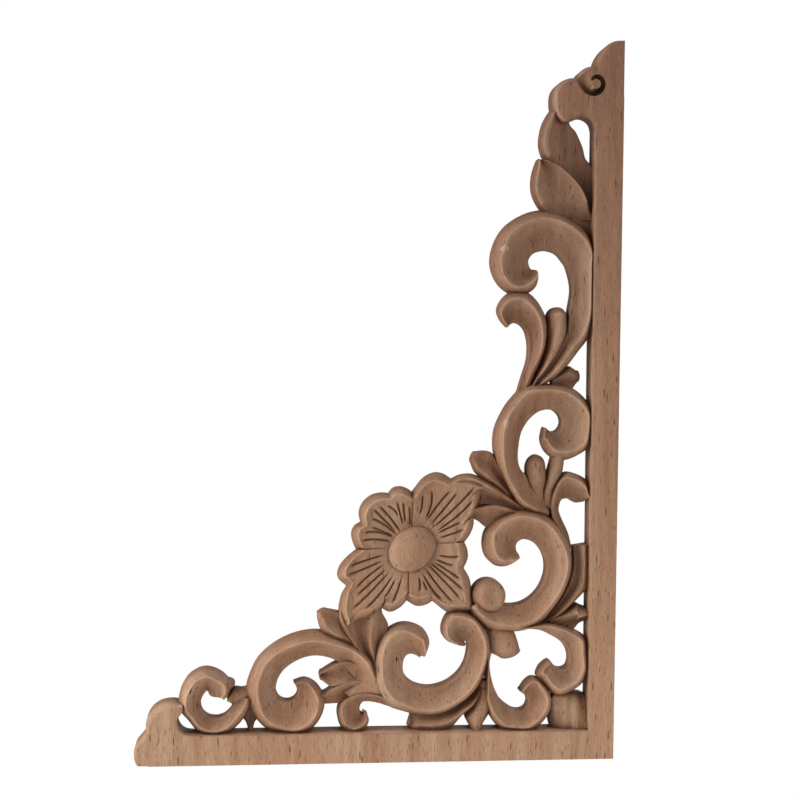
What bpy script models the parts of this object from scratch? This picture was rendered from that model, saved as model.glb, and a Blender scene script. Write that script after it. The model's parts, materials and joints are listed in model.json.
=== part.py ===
import math

import bmesh
import bpy
import numpy as np

# Sizes in millimetres, turned into metres where a mesh is made.
# Plan readings: x to the right from the foot of the short bar's free end, z up from the bottom edge.
LONG_SIDE = 300.4
SHORT_SIDE = 197.8
FOOT = -0.25
THICK = 12.0
CENTRE_X = 192.4
CENTRE_Z = 5.8
# The readings lie on a plane 10 mm up from the back and are moved to where each wall stands.
SIGHT_X = 46.0
SIGHT_Z = 172.0
SIGHT_REACH = 593.0
READ_PLANE = 10.0
SHOULDER = 5.5
RIDGE = 11.0
DISH = 7.0
FLOOR = 4.5
CHORD_ERROR = 0.25
LENGTH_STEP = 40.0
SHOULDER_ROWS = 1
DISH_ROWS = 2

for old in list(bpy.data.objects):
    bpy.data.objects.remove(old)


def catmull(points, per=24):
    """A smooth line through the stations; a station given twice is a corner."""
    points = np.asarray(points, float)
    ends = np.vstack([2 * points[0] - points[1], points, 2 * points[-1] - points[-2]])
    out = []
    for i in range(len(points) - 1):
        p0, p1, p2, p3 = ends[i : i + 4]
        if np.allclose(p1[:4], p2[:4]):
            continue
        if np.allclose(p0[:4], p1[:4]):
            p0 = 2 * p1 - p2
        if np.allclose(p3[:4], p2[:4]):
            p3 = 2 * p2 - p1
        d0, d1, d2 = (math.sqrt(np.linalg.norm((b - a)[:4])) for a, b in ((p0, p1), (p1, p2), (p2, p3)))
        m1 = d1 * ((p1 - p0) / d0 - (p2 - p0) / (d0 + d1)) + (p2 - p1)
        m2 = d1 * ((p3 - p2) / d2 - (p3 - p1) / (d1 + d2)) + (p2 - p1)
        t = (np.arange(per) / per)[:, None]
        out.append(
            (2 * t**3 - 3 * t**2 + 1) * p1 + (t**3 - 2 * t**2 + t) * m1
            + (3 * t**2 - 2 * t**3) * p2 + (t**3 - t**2) * m2
        )
    out.append(points[-1:])
    return np.vstack(out)


def unit(v):
    return v / np.maximum(np.linalg.norm(v, axis=-1, keepdims=True), 1e-9)


def normals(rail, other):
    """Outward from the ribbon, square to the rail."""
    along = unit(np.gradient(rail, axis=0))
    side = np.stack([along[:, 1], -along[:, 0]], -1)
    sign = np.sign(np.sum(side * (rail - other), -1).sum())
    return side * (sign if sign else 1.0)


def sighted(rail, out):
    """Moves readings to the wall: its foot where it faces the eye, its shoulder where it faces away."""
    view = (rail - [SIGHT_X, SIGHT_Z]) * READ_PLANE / SIGHT_REACH
    lean = np.sum(unit(view) * out, -1)
    part = 1.0 - SHOULDER / READ_PLANE
    keep = (1.0 + part) / 2.0 - lean * (1.0 - part) / 2.0
    return rail + view * keep[:, None]


def shoulder(t):
    t = np.clip(t, 0.0, 1.0)
    return np.sin(t * 0.85 * math.pi / 2) / math.sin(0.85 * math.pi / 2)


def even_stations(rows):
    """Picks stations so that straight steps stray from the curve by about CHORD_ERROR. Corners are kept."""
    mid = np.concatenate([rows[:, :2], rows[:, 2:4]], 1)
    step = np.diff(mid, axis=0)
    cost = np.zeros(len(step))
    corner = np.zeros(len(step), bool)
    for rail in (step[:, :2], step[:, 2:]):
        length = np.linalg.norm(rail, axis=1)
        head = np.unwrap(np.arctan2(rail[:, 1], rail[:, 0]))
        turn = np.abs(np.append(np.diff(head), 0.0)) * np.clip(length / 0.06, 0.0, 1.0)
        corner |= turn > 0.35
        turn[turn > 0.35] = 0.0
        cost = np.maximum(cost, length / LENGTH_STEP + np.sqrt(turn * length / (8 * CHORD_ERROR)))
    total = np.concatenate([[0.0], np.cumsum(cost)])
    marks = [0.0] + [total[k + 1] for k in np.flatnonzero(corner)] + [total[-1]]
    wanted = [0.0]
    for a, b in zip(marks[:-1], marks[1:]):
        if b - a > 0.01:
            wanted += list(np.linspace(a, b, max(1, int(round(b - a + 0.3))) + 1)[1:])
    if len(wanted) < 3:
        wanted = np.linspace(0.0, total[-1], 3)
    return np.stack([np.interp(wanted, total, rows[:, c]) for c in range(rows.shape[1])], -1)


def rounded_end(rows, bulge):
    """Adds a half-round end of the given length to the last station."""
    last, before = rows[-1], rows[-2]
    centre = (last[:2] + last[2:4]) / 2
    ahead = unit(centre - (before[:2] + before[2:4]) / 2)
    extra = []
    for angle in np.radians([15, 30, 45, 60, 72, 82, 88]):
        row = last.copy()
        c = centre + ahead * bulge * math.sin(angle)
        row[:2] = c + (last[:2] - centre) * math.cos(angle)
        row[2:4] = c + (last[2:4] - centre) * math.cos(angle)
        extra.append(row)
    return np.vstack([rows, extra])


def heights(kind, u, w, b1, b2, rise, edge_o, top, edge_i, low):
    """Height over the width: a rolled ridge then a dish, a trough between two ridges, or a dome."""
    r1 = min(0.5, b1 / w)
    if kind == "roll":
        t = np.clip((u - r1) / (1 - r1), 0, 1)
        h = np.where(
            u < r1,
            edge_o + (top - edge_o) * shoulder(u / r1),
            edge_i + (top - edge_i) * (1 - t) ** 1.6,
        )
    elif kind == "trough":
        r2 = 1 - min(0.45, b2 / w)
        t = np.clip((u - r1) / (r2 - r1), 0, 1)
        h = low + (top - low) * np.abs(2 * t - 1) ** 1.7
        h = np.where(u < r1, edge_o + (top - edge_o) * shoulder(u / r1), h)
        h = np.where(u > r2, edge_i + (top - edge_i) * shoulder((1 - u) / (1 - r2)), h)
    elif kind == "flat":
        h = np.where(u < r1, edge_o + (top - edge_o) * shoulder(u / r1), top)
    else:
        h = edge_o + (top - edge_o) * (1 - np.abs(2 * u - 1) ** 2.4)
    return FLOOR + (h - FLOOR) * rise if rise < 1.0 else h


def across(kind, w, b1, b2):
    """Where the rows of points lie over the width."""
    r1 = min(0.5, b1 / w)
    rise = np.sin(np.linspace(0, math.pi / 2, SHOULDER_ROWS + 1)) ** 1.2
    if kind == "roll" or kind == "flat":
        rows = DISH_ROWS if kind == "roll" else 1
        return np.concatenate([r1 * rise, r1 + (1 - r1) * np.linspace(0, 1, rows + 1)[1:]])
    if kind == "trough":
        r2 = 1 - min(0.45, b2 / w)
        mid = np.linspace(r1, r2, 2 * DISH_ROWS + 1)[1:]
        return np.concatenate([r1 * rise, mid, (1 - (1 - r2) * rise[::-1])[1:]])
    return (1 - np.cos(np.linspace(0, math.pi, 2 * DISH_ROWS + 1))) / 2


def mesh_object(name, points, faces, collection):
    mesh = bpy.data.meshes.new(name)
    world = [((x - CENTRE_X) / 1000, -h / 1000, (z - CENTRE_Z) / 1000) for x, z, h in points]
    mesh.from_pydata(world, [], faces)
    bm = bmesh.new()
    bm.from_mesh(mesh)
    bmesh.ops.remove_doubles(bm, verts=bm.verts, dist=1e-7)
    bmesh.ops.triangulate(bm, faces=[f for f in bm.faces if len(f.verts) > 3])
    if bm.calc_volume(signed=True) < 0:
        bmesh.ops.reverse_faces(bm, faces=bm.faces)
    bm.to_mesh(mesh)
    bm.free()
    obj = bpy.data.objects.new(name, mesh)
    collection.objects.link(obj)
    return obj


def solid(name, grid, base, collection):
    """A closed body under a grid of (x, z, height) points, with upright walls down to the base level."""
    ns, nu = grid.shape[:2]
    top = grid.reshape(-1, 3)
    foot = np.concatenate([grid[:, 0], grid[:, -1]]).copy()
    foot[:, 2] = base
    points = np.concatenate([top, foot])
    o, i = ns * nu, ns * nu + ns
    faces = []
    for s in range(ns - 1):
        for k in range(nu - 1):
            a, b = s * nu + k, (s + 1) * nu + k
            faces += [(a, a + 1, b), (b, a + 1, b + 1)]
        a, b = s * nu, (s + 1) * nu
        faces += [(a, b, o + s), (o + s, b, o + s + 1)]
        a, b = a + nu - 1, b + nu - 1
        faces += [(b, a, i + s), (b, i + s, i + s + 1)]
        faces += [(o + s, o + s + 1, i + s), (i + s, o + s + 1, i + s + 1)]
    faces.append([o] + [i] + [nu - 1 - k for k in range(nu)])
    last = (ns - 1) * nu
    faces.append([i + ns - 1, o + ns - 1] + [last + k for k in range(nu)])
    return mesh_object(name, points, faces, collection)


carved = bpy.data.collections.new("carved")
cutters = bpy.data.collections.new("cutters")
bpy.context.scene.collection.children.link(carved)
bpy.context.scene.collection.children.link(cutters)


def ribbon(
    name, kind, stations, top=RIDGE, edge=SHOULDER, inner=DISH, low=6.5, b2=2.0, ends=(0, 0), drop=(0, 0),
    sight=True,
):
    """One carved member. A station: outer x, z, inner x, z, ridge distance from the outer edge, rise."""
    rows = np.array([tuple(s) + (1.0,) * (6 - len(s)) for s in stations], float)
    for which, bulge in enumerate(ends):
        if bulge:
            rows = rounded_end(rows[::-1], bulge)[::-1] if which == 0 else rounded_end(rows, bulge)
    rows = catmull(rows)
    rows[:, 5] = np.clip(rows[:, 5], 0.0, 1.0)
    out = normals(rows[:, :2], rows[:, 2:4])
    into = normals(rows[:, 2:4], rows[:, :2])
    if sight:
        moved = sighted(rows[:, :2], out)
        rows[:, 4] += np.sum((moved - rows[:, :2]) * out, -1)
        rows[:, 2:4] = sighted(rows[:, 2:4], into)
        rows[:, :2] = moved
    slant = np.abs(np.sum(unit(rows[:, 2:4] - rows[:, :2]) * out, -1))
    rows[:, 4] = np.maximum(rows[:, 4], 0.4) / np.maximum(slant, 0.4)
    rows = even_stations(rows)
    mid = (rows[:, :2] + rows[:, 2:4]) / 2
    run = np.concatenate([[0], np.cumsum(np.linalg.norm(np.diff(mid, axis=0), axis=1))])
    grid = []
    for k, (ox, oz, ix, iz, b, rise) in enumerate(rows):
        w = max(math.hypot(ix - ox, iz - oz), 0.05)
        u = across(kind, w, b, b2)
        h = heights(kind, u, w, b, b2, rise, edge, top, inner, low)
        for d, far in ((drop[0], run[k]), (drop[1], run[-1] - run[k])):
            if d:
                h = edge + (h - edge) * shoulder(far / d)
        grid.append(np.stack([ox + (ix - ox) * u, oz + (iz - oz) * u, h], -1))
    return solid(name, np.array(grid), 0.0, carved)


def knob(name, x, z, long, wide, tilt, top, edge):
    """A domed oval on its own upright wall."""
    around = 8 * DISH_ROWS
    view = np.array([x - SIGHT_X, z - SIGHT_Z]) * READ_PLANE / SIGHT_REACH * 0.6
    rings = np.sin(np.linspace(0, math.pi / 2, DISH_ROWS + 2))[1:]
    points = [(x + view[0], z + view[1], top)]
    for ring in rings:
        for turn in np.arange(around) * 2 * math.pi / around:
            a, b = long * ring * math.cos(turn), wide * ring * math.sin(turn)
            c, s = math.cos(tilt), math.sin(tilt)
            points.append((
                x + view[0] + a * c - b * s,
                z + view[1] + a * s + b * c,
                edge + (top - edge) * math.sqrt(1 - 0.96 * ring**2.4),
            ))
    points += [(px, pz, 0.0) for px, pz, _ in points[-around:]]
    faces = [(0, 1 + k, 1 + (k + 1) % around) for k in range(around)]
    for r in range(len(rings)):
        for k in range(around):
            a, b = 1 + r * around + k, 1 + r * around + (k + 1) % around
            faces += [(b, a, a + around), (b, a + around, b + around)]
    first = 1 + len(rings) * around
    faces.append([first + k for k in range(around)][::-1])
    return mesh_object(name, points, faces, carved)

# Both bars, inner edge first, then the straight outer edge.
ribbon("frame", "flat", [
    (4.2, 12.1, 4.2, FOOT, 0.45), (21.4, 12.1, 21.4, FOOT, 0.45), (60, 12.1, 60, FOOT, 0.45),
    (100, 12.1, 100, FOOT, 0.45),
    (187.0, 11.8, SHORT_SIDE, FOOT, 0.45), (187.0, 11.8, SHORT_SIDE, FOOT, 0.45),
    (186.6, 100, SHORT_SIDE, 100, 0.45),
    (186.2, 200, SHORT_SIDE, 200, 0.45), (186.1, 277, SHORT_SIDE, 277, 0.45)],
    top=THICK, edge=8.0, sight=False)


def finial(name, x0, z0, edge):
    """A flat scalloped plate, fanned out from its middle. A station: x, z on the edge, then the rim width."""
    ribbon(name, "flat",
        [(x, z, x0 + (x - x0) * 0.04, z0 + (z - z0) * 0.04, ridge) for x, z, ridge in edge],
        top=THICK, edge=8.0, sight=False)


finial("left_finial", 7.0, 8.0, [
    (5, FOOT, 0.45), (-0.4, FOOT, 0.6), (-0.4, FOOT, 0.8), (-1.3, 1, 1.4), (-2.0, 4.1, 1.6),
    (-1.3, 7.9, 1.6),
    (1.2, 11.1, 1.6), (3.1, 13.5, 1.2), (3.1, 13.5, 1.2), (2.8, 16.6, 2.4), (3.6, 19.7, 2.6),
    (5.8, 22.7, 2.8),
    (9.0, 24.7, 2.8), (13.5, 25.4, 2.6), (17.8, 24.6, 1.4), (17.8, 24.6, 1.4), (17.6, 21.8, 0.5),
    (16.4, 20.2, 0.5),
    (15.6, 18.2, 0.5), (15.8, 16.1, 0.5), (16.9, 14.1, 0.5), (18.7, 12.7, 0.5), (21.4, 12.15, 0.45),
    (26, 12.1, 0.45)])
finial("upper_finial", 188.0, 275.0, [
    (186.1, 256, 0.5), (186.1, 263.6, 0.5), (184.7, 267.2, 0.6), (181, 269, 0.8), (177.2, 267.8, 1.0),
    (173, 266.4, 1.2),
    (170.4, 268.4, 1.4), (168.8, 271, 2.2), (168.1, 275.3, 2.6), (168.7, 279.5, 2.6), (171.1, 282.7, 2.6),
    (174.8, 284.4, 2.2), (178.2, 284.4, 1.4), (178.2, 284.4, 1.4), (179.3, 287.0, 2.2), (182.3, 289.2, 2.0),
    (185.6, 289.4, 1.4), (185.6, 289.4, 1.4), (187, 293.7, 2.4), (190, 297.9, 2.4), (193.3, 300.1, 2.0),
    (195.6, LONG_SIDE, 1.2), (SHORT_SIDE, LONG_SIDE, 0.5), (SHORT_SIDE, LONG_SIDE, 0.5),
    (SHORT_SIDE, 280, 0.5), (SHORT_SIDE, 262, 0.5)])

# Two leaves stand one above the other between the upper finial and the first scroll.
ribbon("leaf_a", "roll", [
    (168.5, 272.5, 174.6, 268.6, 2.0), (165.9, 269.4, 175.4, 265.2, 2.0), (163.5, 264.8, 177.8, 262.5, 2.4),
    (162.4, 260.5, 179.4, 259.5, 2.5), (162.1, 256, 180.9, 256, 2.6), (163.1, 252, 182.3, 251.3, 2.4, 0.95),
    (165, 248.5, 185.5, 248, 2, 0.6), (168, 243, 187, 243, 1.5, 0.35), (172, 237, 187.5, 237, 1.5, 0.2),
    (173, 231, 187.5, 231, 1.5, 0.15), (176, 224, 187.5, 226, 1.5, 0.1),
    (180, 214, 187.5, 216, 1.5, 0.1)], top=10.5, inner=6.0)
ribbon("leaf_b", "trough", [
    (161.5, 250.3, 163.2, 250.6, 0.8), (160.5, 247.8, 166.8, 249.2, 2), (159.4, 244, 171.8, 246.6, 2.7),
    (159, 240, 176.6, 242.6, 2.7), (159.4, 236.2, 180, 238.6, 2.7), (161.2, 232, 182.4, 234, 2.5, 0.9),
    (164, 228.5, 184, 230.2, 2, 0.5), (169, 225.5, 186, 226, 1.5, 0.15)],
    top=10.3, inner=9.4, low=7.3, b2=0.6, drop=(1.5, 0))

# The first scroll starts low on the bar, rises along it and curls round to the left.
ribbon("upper_scroll", "roll", [
    (163, 156, 160.3, 156, 2.5, 0.4), (169, 158.9, 162, 159, 2.5, 0.7), (174.5, 163.7, 166, 164.5, 2.8),
    (180.5, 171.5, 171, 172.2, 3), (184.8, 177.5, 174, 178.5, 2.6), (187.4, 186, 174.9, 187.4, 2.4),
    (187.5, 197, 176.1, 197.2, 2.2), (187.5, 206, 174.1, 205.6, 2.2), (187, 213.5, 172.4, 208.4, 1.8),
    (183.6, 220.5, 169.4, 211.6, 2.4), (176, 226.2, 165.6, 212.8, 2.4), (166.7, 229.5, 162.8, 212.4, 3),
    (156.8, 228, 160.3, 211.4, 3.6), (147.8, 221.9, 159, 209.8, 4.2), (143.1, 213.2, 158.6, 208.4, 5.2),
    (142.5, 205.5, 158.8, 207, 5.2), (145.8, 198.5, 159.1, 206.2, 4.4), (151.5, 194.6, 159.4, 205.6, 3.8),
    (157.6, 194.8, 159.7, 205.2, 3.4), (161.8, 197.8, 160.1, 204.9, 2.2), (163, 201.6, 160.5, 204.9, 1.2),
    (161.8, 204.1, 160.7, 204.9, 0.8)], inner=6.8)

# Below it a leaf curls away to the left beside a plump middle lobe.
ribbon("curl_leaf", "roll", [
    (160.5, 155, 154, 153.5, 1.5, 0.3), (162, 160.5, 156.2, 161, 1.5, 0.6),
    (164.6, 166.5, 158, 167, 1.5, 0.85),
    (166.6, 173, 158.4, 173, 1.5), (167.2, 179, 157.6, 178, 1.8), (166.8, 184, 156.4, 180.6, 2.2),
    (165, 188.5, 155, 182, 2.4), (161.8, 193, 153.8, 182.6, 2.8), (157.5, 196, 152.8, 182.7, 3.2),
    (152.5, 196, 151.9, 182.5, 3.2), (148.1, 193.2, 151.3, 182.1, 2.6), (145.4, 188, 150.9, 181.7, 2.3),
    (146.6, 184.2, 150.6, 181.3, 2), (149.2, 181.2, 150.3, 180.9, 1)], top=10.2, inner=6.3)
ribbon("middle_lobe", "dome", [
    (158.8, 155, 161, 155, 1, 0.5), (161.3, 160.5, 164.2, 160, 1, 0.8), (164.2, 167, 168.9, 166.2, 1),
    (165.6, 173, 172.3, 171.2, 1), (166, 179, 175.4, 178, 1), (166, 184.8, 175.4, 185.5, 1)],
    top=9.9, edge=5.0, ends=(0, 4.4), drop=(0, 3.0))
ribbon("bud_1", "roll", [
    (168, 160.5, 170, 154.5, 2.6, 0.5), (172, 163, 173, 154.5, 2.8, 0.8), (176.2, 165.1, 177.5, 155.2, 3.0),
    (179.4, 163.4, 180.4, 158.6, 2.2)], top=8.8, edge=5.0, inner=4.8, ends=(0, 1.5), drop=(0, 1.5))

# The middle scroll, the widest of the long side.
ribbon("middle_scroll", "roll", [
    (168, 101.5, 168.5, 108, 2.5, 0.5), (161.8, 103.6, 164.5, 111, 2.2, 0.8), (156, 107.2, 161, 114.5, 2.3),
    (152, 112.6, 159, 119, 2.5), (148.6, 119, 156.3, 122.4, 2.6), (146, 125, 155.4, 126.5, 3.6),
    (144.6, 131.5, 155.6, 131, 4.6), (145, 138.5, 156.6, 137, 4.6), (147.6, 145, 159.2, 141.9, 3.8),
    (151.3, 150.8, 162.2, 145, 3.6), (157.5, 156.6, 165, 146.6, 3.2), (165, 157.8, 167.6, 147, 2.8),
    (172.5, 157.4, 169.8, 146.5, 2.6), (178.6, 155.6, 171.4, 145.1, 2.6), (184, 151, 172.3, 143.4, 2.2),
    (187.3, 146, 172.5, 141.6, 2.3), (187.5, 138, 172, 139.8, 2.3), (185.8, 131.8, 170.8, 138.3, 2.2),
    (181.4, 128.3, 169.4, 137.8, 2.2), (175.5, 126, 168.2, 138.2, 3.4), (170, 126.7, 167.3, 138.9, 3.7),
    (166.2, 130, 166.7, 139.3, 3.7), (164.4, 134.5, 166.3, 139.5, 2.2),
    (164.9, 138.4, 165.9, 139.6, 1)], inner=6.8)
ribbon("left_bud", "roll", [
    (152, 108.5, 152.5, 117, 2.5, 0.4), (146.5, 113.5, 148.2, 121.5, 2.6, 0.7),
    (141.5, 116.8, 144.5, 128.6, 2.8),
    (137.2, 120.8, 140.4, 129.6, 2.6), (135.4, 124.8, 137.4, 129.3, 2.0)],
    top=9.0, edge=4.8, inner=5.2, ends=(0, 1.2), drop=(0, 1.6))
ribbon("small_leaf", "dome", [
    (164.5, 108, 167.5, 108, 1, 0.3), (161, 112, 167, 113, 1, 0.6), (158.6, 117.5, 167.8, 117.6, 1),
    (158.3, 122.2, 167.3, 123.2, 1)], top=8.6, edge=5.0, ends=(0, 5.4), drop=(0, 3.0))
ribbon("stalk", "dome", [
    (166, 106, 171.5, 106, 1, 0.4), (165.5, 113, 171.5, 113, 1, 0.7), (166.6, 118.5, 174, 118.5, 1),
    (168, 123.6, 175, 123.6, 1), (169.4, 129, 175.4, 129, 1)], top=8.4, edge=5.2)
ribbon("right_curl", "roll", [
    (175.5, 88.5, 179.1, 88.5, 1.2, 0.4), (173.4, 95.6, 177.3, 95.2, 1.2, 0.5),
    (169.6, 101.2, 174.7, 100.6, 1.5, 0.6),
    (168.4, 107, 173.3, 104.6, 2.2, 0.8), (169.4, 113, 174, 108.3, 2.6),
    (171.5, 118, 175.2, 109.6, 2.8), (175, 120.8, 177, 109.6, 2.6), (180.5, 120, 178.6, 108.5, 2.4),
    (184.8, 117.3, 180.5, 108, 2.2), (187.3, 113, 183.5, 108.4, 2)], top=9.8, inner=5.5)

# The flower: four broad petals round a domed boss.
# The rim of each is scalloped, with a sharp notch between lobes.
def petal(name, stations, inner=8.3):
    ribbon(name, "roll", stations, top=9.9, edge=6.2, inner=inner)


petal("petal_upper_left", [
    (88.5, 88.0, 104, 86, 2, 0.72), (86.9, 91.6, 103.5, 87.5, 2.2, 0.9), (86.3, 95.6, 103.6, 89, 2.2),
    (87.6, 98.6, 104, 90.5, 1.8),
    (89.9, 100, 104.6, 92, 1.2), (89.9, 100, 104.6, 92, 1.2), (89.3, 104, 105.5, 93, 2.2),
    (90.7, 108, 106.4, 94, 2.4),
    (94.2, 111.1, 107.2, 94.6, 2.4), (98.2, 112.1, 108, 95, 1.8), (101.2, 111.9, 108.6, 95.4, 1.2),
    (101.2, 111.9, 108.6, 95.4, 1.2), (103.2, 114.1, 109.2, 95.6, 2.2), (106.4, 114.7, 110, 95.8, 2.4),
    (109.4, 113.7, 110.6, 96, 2.0), (111.3, 112.4, 111.2, 96, 1.2)])
petal("petal_upper_right", [
    (110.9, 112.2, 111, 96, 1.2), (112.4, 114.3, 111.8, 96, 2.2), (115.8, 118.4, 113, 96, 2.4),
    (120.6, 120.5, 114.6, 96, 2.4),
    (124.6, 119.8, 115.6, 95.6, 2.2), (127.4, 118, 116.4, 95.2, 1.4), (127.4, 118, 116.4, 95.2, 1.4),
    (130.6, 119.3, 116.8, 94.8, 2.4), (136, 118.9, 117.4, 94.2, 2.6), (141.6, 116.4, 117.8, 93.6, 1.6),
    (141.6, 116.4, 117.8, 93.6, 1.6), (140, 111.4, 118, 93, 1.4), (138.8, 106.4, 118.2, 92.4, 1.4),
    (136.9, 102.6, 118.4, 91.8, 1.2), (136.9, 102.6, 118.4, 91.8, 1.2), (137.2, 98.8, 118.4, 91, 2.2),
    (136, 95, 118.2, 90, 2.2, 0.9), (133.2, 90.6, 117.8, 88, 2, 0.72)])
petal("petal_lower_right", [
    (133.2, 91.8, 118.4, 91.6, 1.4), (134.6, 88.4, 118, 88.6, 2.2), (134.9, 84.6, 117.6, 87, 2.2),
    (133.3, 80.6, 117, 86, 1.4),
    (133.3, 80.6, 117, 86, 1.4), (135.6, 76.4, 116.4, 85, 2.2), (136.8, 70.6, 115.6, 84.4, 2.2),
    (138.3, 62.6, 114.6, 83.8, 2),
    (138.3, 62.6, 114.6, 83.8, 2), (132.6, 61.9, 113.8, 83.4, 2.2), (126.6, 62.4, 112.8, 83, 2.2),
    (120.4, 66.9, 111.8, 82.6, 1.2),
    (120.4, 66.9, 111.8, 82.6, 1.2), (117.9, 65.4, 111, 82.4, 2.2), (114, 64.9, 110.2, 82.2, 2.4),
    (109.4, 67.2, 109.4, 82, 1.4)])
petal("petal_lower_left", [
    (109.8, 67.2, 109.6, 82, 1.4), (107.2, 64.5, 108.8, 82, 2.2), (103, 62.5, 108, 82.2, 2.4),
    (99, 64.2, 107.4, 82.4, 1.4),
    (99, 64.2, 107.4, 82.4, 1.4), (94.6, 60.8, 106.8, 82.8, 2), (89, 58.8, 106.2, 83.2, 2),
    (83.6, 56.4, 105.6, 83.8, 1.6),
    (83.6, 56.4, 105.6, 83.8, 1.6), (81.6, 62.6, 105.2, 84.4, 2), (82.3, 69.4, 104.8, 85, 2),
    (84.4, 73.5, 104.4, 85.6, 1.2),
    (84.4, 73.5, 104.4, 85.6, 1.2), (80.8, 77.2, 104.2, 86.4, 2.2), (81.4, 81.4, 104, 87.4, 2.2),
    (84.4, 85.4, 104, 88.4, 2),
    (89, 89.3, 104.4, 89.4, 1.4)])
knob("flower_boss", 111.2, 89.0, 10.6, 8.6, 0.72, 11.6, 7.6)

# From the upper right petal a stem runs into the middle scroll, with a leaf under it.
ribbon("petal_stem", "roll", [
    (126.5, 116.6, 131, 104, 2.4), (130, 119.3, 135, 104.5, 2.2), (136, 119.9, 138.6, 106, 2.0),
    (142, 117.4, 142, 107, 1.8), (147.6, 114, 147, 106.4, 1.5, 0.8), (153, 110.4, 152.5, 104, 1.2, 0.6),
    (158, 107, 158, 102.6, 1.0, 0.4)], top=9.8, inner=5.2)
ribbon("leaf_c", "roll", [
    (133.5, 106, 134.5, 102, 1.0, 0.6), (139.6, 107, 138.8, 100.4, 1.0), (144.9, 107.7, 143.2, 97.3, 1.2),
    (150, 106.8, 149, 98.5, 1.2), (155, 104.8, 155, 99.5, 1.0, 0.6)], top=9.2, edge=6.0, inner=5.2)

# The right scroll sweeps from its curl over the top, down beside the bar and back under the ball.
ribbon("right_scroll", "roll", [
    (155.9, 84.6, 156.1, 86.6, 0.8), (154.2, 82.6, 155.6, 87.2, 1.5), (150.4, 81.3, 155.2, 88, 3.0),
    (146, 82, 155.1, 88.7, 3.6), (142.1, 85.8, 155, 89.5, 4.6), (140.7, 91.4, 155.3, 90.5, 5.3),
    (141.7, 96.8, 156, 91.6, 4.8), (145, 100.4, 156.8, 92.2, 4.0), (149.6, 103.4, 157.7, 92.7, 3.4),
    (155, 105.2, 158.8, 92.8, 3.2), (162, 105, 160.5, 92.4, 3.2), (169.6, 101.8, 163.3, 90.7, 3),
    (175.4, 95.1, 165.7, 87.6, 2.6), (178.7, 86.6, 167, 83.4, 1.9), (178.9, 79, 166.8, 78.6, 1.8),
    (176.2, 70.8, 164.6, 73.1, 1.8), (171.6, 63.4, 161, 69, 1.9, 0.9),
    (165.6, 56.8, 157.1, 66.7, 2.2, 0.85),
    (158.5, 54.2, 153.7, 65.9, 2.6, 0.85), (151.5, 54, 149.6, 66, 2.6), (144.6, 54.9, 146.8, 66.5, 3.2),
    (138.6, 59, 144.6, 67.5, 3.4), (134.8, 65, 142.5, 69.2, 2.6)], inner=6.8)
knob("ball", 143.6, 69.2, 7.2, 7.2, 0.0, 10.9, 5.8)
ribbon("bar_leaf", "roll", [
    (187.3, 90.9, 178.6, 90.3, 4), (187.5, 81, 178.9, 82, 4), (187.4, 73.4, 177.6, 76, 4),
    (184.2, 69.9, 176, 72, 3.4), (180.6, 66.2, 173, 67, 3.2), (175.5, 61.2, 169, 62, 2.6, 0.8),
    (169, 57.6, 165.5, 59, 2, 0.4)], top=9.0, inner=4.8)
ribbon("bud_2", "roll", [
    (169, 60, 170, 54.6, 2.4, 0.4), (175, 63, 176, 52.6, 4, 0.8), (180.3, 66, 180.8, 54.6, 5),
    (183, 64.9, 183, 57, 4), (187.5, 63.4, 187.5, 58.8, 2.4)], top=9.5, edge=5.0, inner=4.8)

# The corner scroll and the lower scroll meet beside the fan leaf of the corner.
ribbon("corner_scroll", "roll", [
    (152.5, 56.5, 153.5, 54, 1.2, 0.4), (160, 57.4, 160, 54.9, 1.2, 0.7), (167, 58.2, 165.8, 54.6, 1.8),
    (172.8, 57.3, 170, 52.7, 2.0), (179.6, 55, 173.6, 50.5, 2.2), (185.5, 51.2, 176.3, 47.6, 2.6),
    (187.2, 44, 177.5, 44, 2.8), (187.6, 37.4, 177, 40.8, 2.8), (185, 32.3, 175.8, 39.4, 2.3),
    (181.3, 29.2, 174.4, 38.9, 2.2), (175, 26.6, 172.8, 39, 2.6), (169.8, 28.8, 171.6, 39.8, 3.2),
    (166.6, 32.6, 171, 40.6, 3.4), (164.2, 36, 170.5, 41.4, 3.6), (165.3, 39.7, 169.9, 41.9, 2.8),
    (167.4, 41.8, 169.4, 42.2, 1.4)], inner=6.8)
ribbon("lower_scroll", "roll", [
    (142.5, 47, 145.9, 46.5, 1, 0.7), (142.6, 40, 144.6, 40, 0.9, 0.9), (142.7, 32, 145.9, 32.4, 1.2),
    (142.8, 24.8, 148.2, 27.2, 2.2), (145.4, 17.7, 150.6, 24.4, 2.6), (150, 13.1, 153.6, 22.3, 2.1),
    (156.4, 11.4, 156, 21.7, 2.2), (162, 11.4, 158.2, 22.2, 2.2), (167, 14.6, 159.6, 23.4, 2.2),
    (170.6, 19.8, 160.2, 24.8, 1.9), (171.2, 25, 160.3, 25.9, 1.6), (169.2, 30.2, 159.9, 27, 1.6),
    (165.4, 34.4, 159.1, 27.9, 2.2), (161.5, 35.1, 158.3, 28.4, 2), (158.6, 32.7, 157.7, 28.8, 1.6),
    (157.6, 30, 157.4, 28.9, 0.5)], inner=6.6)
ribbon("corner_leaf", "dome", [
    (168.5, 25, 172.5, 29.2, 1, 0.5), (169.4, 20.5, 178.5, 29, 1, 0.9), (169.8, 16.8, 183.2, 28.4, 1),
    (171.8, 12.4, 187.5, 25, 1), (181, 9.5, 188.5, 17, 1)], top=9.4, edge=5.0)
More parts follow.
